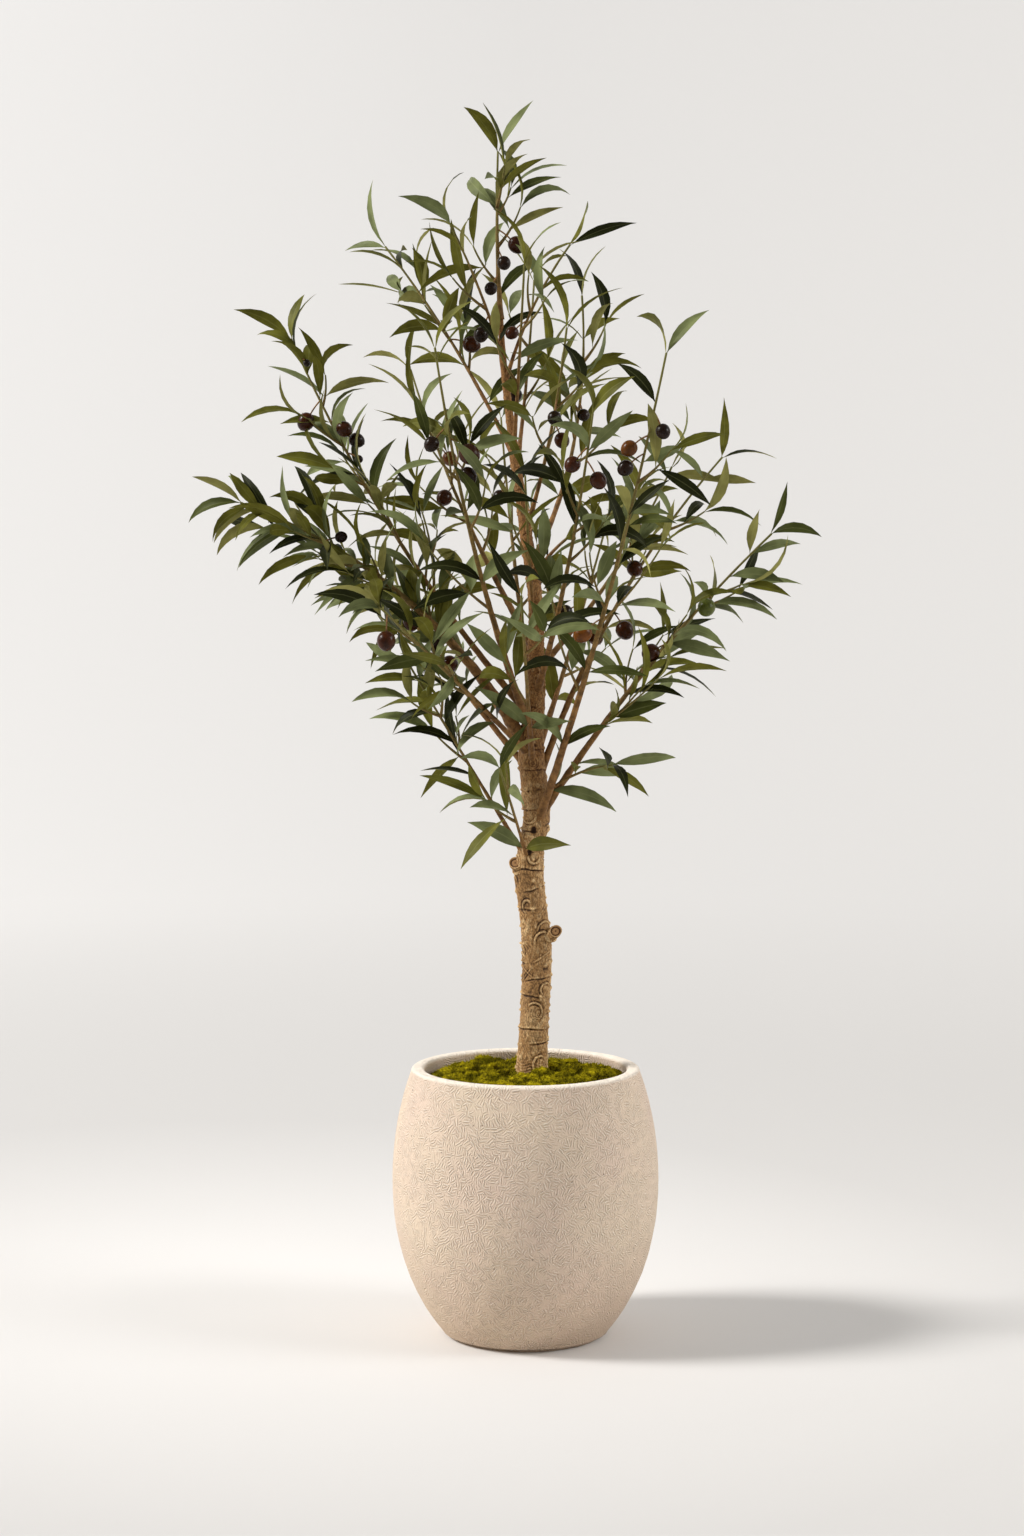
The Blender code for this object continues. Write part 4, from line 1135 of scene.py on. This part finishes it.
def limb_mesh(name, stems, sides, swelling):
    """Tapering limbs: rings round each stem's axis, thicker where it leaves what carries it."""
    batch = Batch()
    for stem in stems:
        radii = (stem.radii * (1.0 + swelling * np.exp(-stem.lengths / 0.018)))[:, None]
        even = rings_round(stem.points, stem.ahead, stem.across, radii, sides)
        knots = layers(even, (0.10, 0.006, 61, 0.6), (0.05, 0.0025, 62, 1.0))
        rings = rings_round(stem.points, stem.ahead, stem.across, radii * (1.0 + knots), sides)
        tip = stem.points[-1] + stem.ahead[-1] * 0.8 * stem.radii[-1]
        batch.add(rings, stem.ages[:, None], tip=tip)
    return batch.mesh(name, "age")


def turned_about(vectors, axes, angles):
    """Vectors turned about axes that are square to them."""
    return vectors * np.cos(angles)[..., None] + np.cross(axes, vectors) * np.sin(angles)[..., None]


def leaf_faces():
    """(quads, triangles) of one leaf. Of every six faces, the first four are on its upper side."""
    column = np.array((0, 1, 2, 3, 5, 4))
    after = (column + 1) % 6
    quads = 1 + grid_faces(7, 6).reshape(6, 6, 4)[:, column]
    quads[:, 4:] = np.roll(quads[:, 4:], -1, axis=-1)
    foot_fan = np.stack([0 * column, 1 + after, 1 + column], axis=-1)
    tip_fan = np.stack([37 + column, 37 + after, 43 + 0 * column], axis=-1)
    return quads.reshape(-1, 4), np.concatenate([foot_fan, tip_fan])


def leaf_points(leaves):
    """Points of all leaves, (leaves, 44, 3), and their places on the leaf.

    A midrib bends evenly about its mean direction and sways sideways. The half width at a share s of the
    blade is s^(0.8 p) (1 - s)^p, scaled to the width. The blade folds up from its midrib and twists.
    """
    t, v = LEAF_ROWS, LEAF_ACROSS
    across = np.cross(leaves.ahead, leaves.face)
    arch = leaves.bend[:, None] * (0.5 - t)
    side = leaves.sway[:, None] * (t - 0.5)
    ahead, face, across = (vectors[:, None, :] for vectors in (leaves.ahead, leaves.face, across))
    course = ahead * (np.cos(arch) * np.cos(side))[..., None]
    course = unit(course + face * np.sin(arch)[..., None] + across * np.sin(side)[..., None])
    mids = 0.5 * (course[:, 1:] + course[:, :-1]) * np.diff(t)[None, :, None]
    along = np.swapaxes(summed(np.swapaxes(mids, 0, 1)), 0, 1)
    middle = leaves.foot[:, None, :] + along * leaves.length[:, None, None]
    up = unit(face - course * np.sum(face * course, axis=-1, keepdims=True))
    up = turned_about(up, course, leaves.twist[:, None] * (t - 0.1))
    beside = np.cross(course, up)
    share = ramp((t - 0.06) / 0.94)
    rise, fall = 0.8 * leaves.point[:, None], leaves.point[:, None]
    top = rise / (rise + fall)
    outline = share**rise * (1.0 - share) ** fall / (top**rise * (1.0 - top) ** fall)
    half = np.maximum(0.5 * leaves.width[:, None] * outline, 0.0007 * (1.0 - t))[..., None]
    lift = leaves.fold[:, None, None] * half * np.abs(v) ** 1.05 + np.where(v == 0.0, -RIB_DEPTH, 0.0)
    sheet = middle[:, :, None, :] + beside[:, :, None, :] * (half * v)[..., None]
    sheet = sheet + up[:, :, None, :] * lift[..., None]
    below = middle - up * (LEAF_EDGE + 0.0006 * (1.0 - t) ** 3)[:, None]
    rows = np.concatenate([sheet, below[:, :, None, :]], axis=2)[:, 1:-1]
    points = np.concatenate([middle[:, :1], rows.reshape(len(middle), -1, 3), middle[:, -1:]], axis=1)
    place_u = np.concatenate([[0.0], np.repeat(t[1:-1], 6), [1.0]])
    place_v = np.concatenate([[0.5], np.tile(np.append(0.5 * v + 0.5, 0.5), 7), [0.5]])
    return points, np.stack([place_u, place_v], axis=-1)


def leaf_mesh(leaves, tints):
    """All leaves as one mesh: sharp along their rims, with the colour of each side by its material slot."""
    points, places = leaf_points(leaves)
    count, size = points.shape[:2]
    groups = leaf_faces()
    faces = [(group + size * np.arange(count)[:, None, None]).reshape(-1, group.shape[1]) for group in groups]
    tint = np.concatenate([np.repeat(leaves.tint, len(group)) for group in groups])
    is_upper = np.arange(len(tint)) % 6 < 4
    slots = np.where(is_upper, tint, tints + tint % 2)
    mesh = surface("olive_leaves", points.reshape(-1, 3), *faces, slots=slots)
    corners = np.empty(len(mesh.loops), np.int32)
    mesh.loops.foreach_get("vertex_index", corners)
    layer = mesh.uv_layers.new(name="leaf")
    layer.data.foreach_set("uv", places[corners % size].astype(np.float32).ravel())
    ends = np.empty(2 * len(mesh.edges), np.int32)
    mesh.edges.foreach_get("vertices", ends)
    ends = ends.reshape(-1, 2) % size
    rim = np.zeros(size, bool)
    rim[[0, -1]] = True
    rim[1:-1:6] = True
    rim[5:-1:6] = True
    sharp = rim[ends].all(axis=1) & (np.abs(ends[:, 0] - ends[:, 1]) != 4)
    mesh.attributes.new("sharp_edge", "BOOLEAN", "EDGE").data.foreach_set("value", sharp)
    return mesh


def flat_turn(axis):
    """The turn about this axis at which a leaf stands out furthest to the side."""
    out = side_frame(axis, 0.0)
    return math.atan2(np.cross(axis, out)[0], out[0])


def leaf_places(stems, twigs, pair_spacing, rng):
    """(stem, distance, turn, spread, size) of each leaf, in pairs that swing across one plane."""
    places = []
    for stem in (*stems, *twigs):
        spacing = pair_spacing * SHOOTS[stem.family].openness
        at = stem.start + (0.35 if stem.start == 0.0 else 0.15) * spacing
        swing = rng.choice((-1.0, 1.0))
        while at < stem.length - 0.010:
            share = at / stem.length
            turn = flat_turn(stem.at(at)[1]) + swing * math.radians(rng.uniform(5.0, 68.0))
            for half_turn in (0.0, math.pi):
                if rng.random() > LEFT_OUT:
                    size = 1.0 - 0.14 * max(0.0, share - 0.6) / 0.4
                    spread = rng.uniform(34.0, 68.0)
                    places.append((stem, at, turn + half_turn, spread, size * rng.uniform(0.88, 1.06)))
            swing = -swing
            at += spacing * (1.6 - 0.75 * share) * rng.uniform(0.85, 1.15)
        turn = flat_turn(stem.at(stem.length)[1]) + swing * math.radians(rng.uniform(5.0, 45.0))
        for half_turn in (0.0, math.pi):
            at_tip = (stem, stem.length - 0.002, turn + half_turn)
            places.append((*at_tip, rng.uniform(20.0, 42.0), TIP_SIZE))
    return places


def clearest_pose(point, axis, turn, spread, reach, taken, rng):
    """(direction, spots along it) of the pose, out of a few, that keeps furthest from what is there."""
    best = None
    for attempt in range(LEAF_TRIES):
        jitter = 10.0 + 6.0 * attempt
        out = side_frame(axis, turn + math.radians(rng.uniform(-jitter, jitter)))
        angle = math.radians(spread + 0.6 * rng.uniform(-jitter, jitter))
        ahead = unit(axis * math.cos(angle) + out * math.sin(angle) - UP * rng.uniform(0.02, 0.30))
        spots = point + ahead * (LEAF_SPOTS * reach)[:, None]
        gaps = np.linalg.norm(spots[:, None, :] - taken, axis=-1).min(axis=1)
        gap = min(gaps.min(), 0.012) + 0.15 * min(gaps.mean(), 0.02)
        if best is None or gap > best[0] + 0.0006:
            best = (gap, ahead, spots)
        if best[0] > GOOD_GAP:
            break
    return best[1:]


def upper_side(point, axis, ahead, rng):
    """The way a leaf's upper side faces: up and outward, then rolled, more often away from one place."""
    outward = unit(point * (1.0, 1.0, 0.0) - (0.005, 0.0, 0.0))
    face = axis + UP * 0.5 + outward * 0.4
    face = unit(face - ahead * face.dot(ahead))
    beside = np.cross(ahead, face)
    roll = math.radians(rng.uniform(8.0, 64.0)) * math.copysign(1.0, beside.dot(unit(point - FACED)))
    roll = roll if rng.random() < 0.74 else -roll
    return face * math.cos(roll) + beside * math.sin(roll)


def set_leaves(stems, twigs, leaf):
    """All leaves: each place's clearest pose, and its size, bends, fold, point and tint by chance."""
    rng = random.Random(SEED + 2)
    places = leaf_places(stems, twigs, leaf.pair_spacing, rng)
    wood = [stem.points[::3] for stem in (*stems, *twigs)]
    wood = np.concatenate([*wood, trunk_points(np.linspace(0.55, 1.24, 90))])
    taken = np.empty((len(wood) + len(places) * len(LEAF_SPOTS), 3))
    used = len(wood)
    taken[:used] = wood
    rows = []
    for stem, at, turn, spread, size in places:
        point, axis, radius = stem.at(at)
        reach = size * rng.uniform(leaf.shortest, leaf.longest)
        ahead, spots = clearest_pose(point, axis, turn, spread, reach, taken[:used], rng)
        taken[used : used + len(spots)] = spots
        used += len(spots)
        face = upper_side(point, axis, ahead, rng)
        droop = -np.cross(ahead, face)[2] * rng.uniform(0.1, 1.2)
        width = size**0.5 * rng.uniform(leaf.narrowest, leaf.widest) * (1.0 - 0.16 * at / stem.length)
        shape = (
            rng.uniform(0.3, 1.3) + (0.6 if rng.random() < 0.15 else 0.0),
            rng.uniform(-0.7, 0.7),
            rng.uniform(0.05, 0.4),
            droop + rng.uniform(-0.25, 0.25),
            rng.uniform(1.15, 1.65),
        )
        spray = (stem.family * 7 + int(at / 0.12)) % 4
        young = at / stem.length > 0.72 and rng.random() < 0.24
        tint = YOUNG_TINT if young else (spray if rng.random() < 0.24 else rng.choice(COMMON_TINTS))
        rows.append((point - ahead * 0.2 * radius, ahead, face, reach, width, *shape, tint))
    return Leaves(*(np.array(column) for column in zip(*rows)))


def olive_mesh(olives, settings):
    """Olives: an egg turned about its stalk, r = sin(a) (1 + 0.06 cos(a)), with a dimple and a nib."""
    batch = Batch()
    angle = np.linspace(0.14, math.pi - 0.10, 13)
    radii = 0.5 * np.sin(angle) * (1.0 + 0.06 * np.cos(angle))
    along = 0.94 - np.cos(angle)
    for point, ahead, size, tint in olives:
        ahead = unit(ahead)
        across = np.cross(ahead, (0.31, 0.2, 0.93))
        places = point + ahead * (0.5 * settings.elongation * size * along)[:, None]
        rings = rings_round(places, np.broadcast_to(ahead, places.shape), across, (size * radii)[:, None], 16)
        batch.add(rings, foot=places[0] + ahead * 0.0006, tip=places[-1] + ahead * 0.0007, slots=tint)
    return batch.mesh("olives", "plain")


def set_olives(stems, settings):
    """(stalks, olives): each stalk leaves its shoot sideways and sags, and an olive hangs at its end."""
    rng = random.Random(SEED + 3)
    by_name = {shoot.name: stem for shoot, stem in zip(SHOOTS, stems)}
    steps = np.linspace(0.0, 1.0, 7)[:, None]
    stalks, olives = [], []
    for name, hung in OLIVES.items():
        for share, turn, width, tint in hung:
            point, axis, _ = by_name[name].at(share / 1000 * by_name[name].length)
            ahead = unit(side_frame(axis, math.radians(turn)) * 0.9 - UP * 0.45)
            reach = settings.stalk * rng.uniform(0.92, 1.08)
            course = point + ahead * reach * steps - UP * STALK_SAG * steps**2
            side = unit(np.cross(ahead, UP))
            stalks.append(Stem(course, side, np.full(7, STALK_RADIUS), np.full(7, 0.4)))
            olives.append((course[-1], course[-1] - course[-2], width / 10000, OLIVE_TINTS.index(tint)))
    return stalks, olives


# Operators


class OLIVETREE_OT_pot(bpy.types.Operator):
    """Build the cast pot with its uneven wall and round lip"""

    bl_idname = "olive_tree.pot"
    bl_label = "Pot"

    def execute(self, context):
        pot = context.scene.olive_tree_pot
        piece("pot_shell", pot_mesh(pot), "pot_stone", ["pot"], stone_finish(pot))
        return {"FINISHED"}


class OLIVETREE_OT_filling(bpy.types.Operator):
    """Give the filling that carries the trunk its finish"""

    bl_idname = "olive_tree.filling"
    bl_label = "Filling"

    def execute(self, context):
        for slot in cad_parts["potting_core"].material_slots:
            slot.material = filling_finish()
        return {"FINISHED"}


class OLIVETREE_OT_moss(bpy.types.Operator):
    """Build the clumped moss and its tufts"""

    bl_idname = "olive_tree.moss"
    bl_label = "Moss"

    def execute(self, context):
        moss = context.scene.olive_tree_moss
        finish = moss_finish(moss)
        piece("moss_cushions", moss_mesh(moss), "moss", ["moss_bed"], finish)
        piece("moss_tufts", tuft_mesh(moss), "moss", [], finish)
        return {"FINISHED"}


class OLIVETREE_OT_trunk(bpy.types.Operator):
    """Build the trunk with its moulded bark, and its two cut stubs"""

    bl_idname = "olive_tree.trunk"
    bl_label = "Trunk"

    def execute(self, context):
        wood = context.scene.olive_tree_wood
        finish = bark_finish(wood)
        for name in TRUNK_LENGTHS:
            piece(name, trunk_mesh(name, wood), "bark", ["trunk"], finish)
        piece("cut_stubs", stub_mesh(), "bark", [], finish, cut_finish())
        return {"FINISHED"}


class OLIVETREE_OT_limbs(bpy.types.Operator):
    """Build the limbs that leave the trunk and the twigs on them"""

    bl_idname = "olive_tree.limbs"
    bl_label = "Limbs and twigs"

    def execute(self, context):
        stems, twigs = grow_tree()
        finish = limb_finish(context.scene.olive_tree_wood)
        piece("boughs", limb_mesh("boughs", stems, 12, 0.45), "bark", nodes_named("bough_"), finish)
        piece("twigs", limb_mesh("twigs", twigs, 7, 0.35), "foliage", nodes_named("foliage_"), finish)
        return {"FINISHED"}


class OLIVETREE_OT_leaves(bpy.types.Operator):
    """Set the leaves in pairs along every shoot and twig"""

    bl_idname = "olive_tree.leaves"
    bl_label = "Leaves"

    def execute(self, context):
        leaf = context.scene.olive_tree_leaf
        uppers = ("slate", "deep", "green", "olive")
        unders = ("under", "under_pale")
        names = uppers + unders
        finishes = [leaf_finish(f"leaf_{name}", getattr(leaf, name), name in unders) for name in names]
        leaves = set_leaves(*grow_tree(), leaf)
        print(len(leaves.foot), "leaves")
        mesh = leaf_mesh(leaves, len(uppers))
        piece("olive_leaves", mesh, "foliage", nodes_named("foliage_"), *finishes)
        return {"FINISHED"}


class OLIVETREE_OT_olives(bpy.types.Operator):
    """Hang the olives on their stalks"""

    bl_idname = "olive_tree.olives"
    bl_label = "Olives"

    def execute(self, context):
        fruit = context.scene.olive_tree_fruit
        stalks, olives = set_olives(grow_tree()[0], fruit)
        finishes = [olive_finish(f"olive_{name}", getattr(fruit, name)) for name in OLIVE_TINTS]
        piece("olives", olive_mesh(olives, fruit), "foliage", [], *finishes)
        finish = limb_finish(context.scene.olive_tree_wood)
        piece("olive_stalks", limb_mesh("olive_stalks", stalks, 5, 0.3), "foliage", [], finish)
        return {"FINISHED"}


class OLIVETREE_OT_stage(bpy.types.Operator):
    """Build the pale round backdrop, the studio light and the camera"""

    bl_idname = "olive_tree.stage"
    bl_label = "Stage"

    def execute(self, context):
        stage = context.scene.olive_tree_stage
        build_backdrop(stage)
        build_lights(stage)
        build_camera(stage)
        return {"FINISHED"}


def build_backdrop(stage):
    """A floor that curves up into a round wall: a profile of (radius, height) turned about Z."""
    columns, floor_radius, bend, top = 128, 4.2, 4.0, 9.0
    floor = (np.linspace(0.2, floor_radius, 20), np.zeros(20))
    wall = (np.full(6, floor_radius + bend), np.linspace(bend + 0.3, top, 6))
    rings, _ = spun((floor, arc(floor_radius, bend, bend, 270.0, 360.0, 36), wall), columns)
    points = np.concatenate([rings.reshape(-1, 3), [(0.0, 0.0, 0.0)]])
    column = np.arange(columns)
    fan = np.stack([np.full(columns, len(points) - 1), column, (column + 1) % columns], axis=-1)
    mesh = surface("backdrop", points, grid_faces(len(rings), columns)[:, ::-1], fan)
    mesh.materials.append(paper_finish(stage.paper))
    backdrop = placed("backdrop", mesh)
    backdrop.visible_shadow = False


def aim(obj, place, target):
    """Puts a lamp at a place, looking at a target."""
    obj.location = place
    back = unit(np.array(place) - np.array(target))
    obj.rotation_euler = (math.acos(back[2]), 0.0, math.atan2(back[0], -back[1]))


def build_lights(stage):
    """A hard key and a broad soft box from the left, a narrow box on the right, and light all round."""
    sun = bpy.data.lights.new("key", "SUN")
    sun.energy = stage.key
    sun.angle = math.radians(14.0)
    sun.color = (1.0, 0.985, 0.96)
    forward, height, away = math.radians(6.5), math.radians(39.0), 5.0
    level = math.cos(height) * away
    place = (-math.cos(forward) * level, -math.sin(forward) * level, math.sin(height) * away)
    aim(placed("key", sun), place, (0.0, 0.0, 0.0))
    boxes = (
        ("box_left", (-3.0, -0.6, 2.4), (0.0, 0.0, 0.8), 180.0, 16.0),
        ("box_right", (3.0, -0.8, 2.0), (0.0, 0.0, 0.12), 50.0, 5.2),
    )
    for name, place, target, spread, power in boxes:
        area = bpy.data.lights.new(name, "AREA")
        area.shape = "SQUARE"
        area.size = 1.6
        area.spread = math.radians(spread)
        area.energy = power
        aim(placed(name, area), place, target)
    world = bpy.data.worlds.new("studio")
    bpy.context.scene.world = world
    world.use_nodes = True
    sky = world.node_tree.nodes["Background"]
    sky.inputs["Color"].default_value = (1.0, 0.995, 0.985, 1.0)
    sky.inputs["Strength"].default_value = stage.fill


def build_camera(stage):
    """The photograph's view: a long lens, a little above the pot's rim, tilted slightly down."""
    data = bpy.data.cameras.new("camera")
    data.lens = stage.lens
    data.sensor_width = 36.0
    data.sensor_fit = "AUTO"
    data.clip_end = 60.0
    camera = placed("camera", data)
    camera.location = (-0.0165, -3.627, 0.977)
    camera.rotation_euler = (math.radians(90.0 - 4.39), 0.0, 0.0)
    bpy.context.scene.camera = camera
    bpy.context.scene.view_settings.view_transform = "Standard"


class OLIVETREE_PT_panel(bpy.types.Panel):
    """Sizes, colours and pieces of the potted olive tree"""

    bl_idname = "OLIVETREE_PT_panel"
    bl_label = "Potted olive tree"
    bl_space_type = "VIEW_3D"
    bl_region_type = "UI"
    bl_category = "Olive Tree"

    def draw(self, context):
        for name, group in GROUPS.items():
            box = self.layout.box()
            settings = getattr(context.scene, name)
            for key in group.__annotations__:
                box.prop(settings, key)
        for operator in OPERATORS:
            self.layout.operator(operator.bl_idname)


OPERATORS = (
    OLIVETREE_OT_pot,
    OLIVETREE_OT_filling,
    OLIVETREE_OT_moss,
    OLIVETREE_OT_trunk,
    OLIVETREE_OT_limbs,
    OLIVETREE_OT_leaves,
    OLIVETREE_OT_olives,
    OLIVETREE_OT_stage,
)
CLASSES = (*GROUPS.values(), *OPERATORS, OLIVETREE_PT_panel)


def register():
    for item in CLASSES:
        bpy.utils.register_class(item)
    for name, group in GROUPS.items():
        setattr(bpy.types.Scene, name, bpy.props.PointerProperty(type=group))


def unregister():
    for name in GROUPS:
        delattr(bpy.types.Scene, name)
    for item in reversed(CLASSES):
        bpy.utils.unregister_class(item)


def main():
    register()
    for operator in OPERATORS:
        group, name = operator.bl_idname.split(".")
        getattr(getattr(bpy.ops, group), name)()


if __name__ == "__main__":
    main()
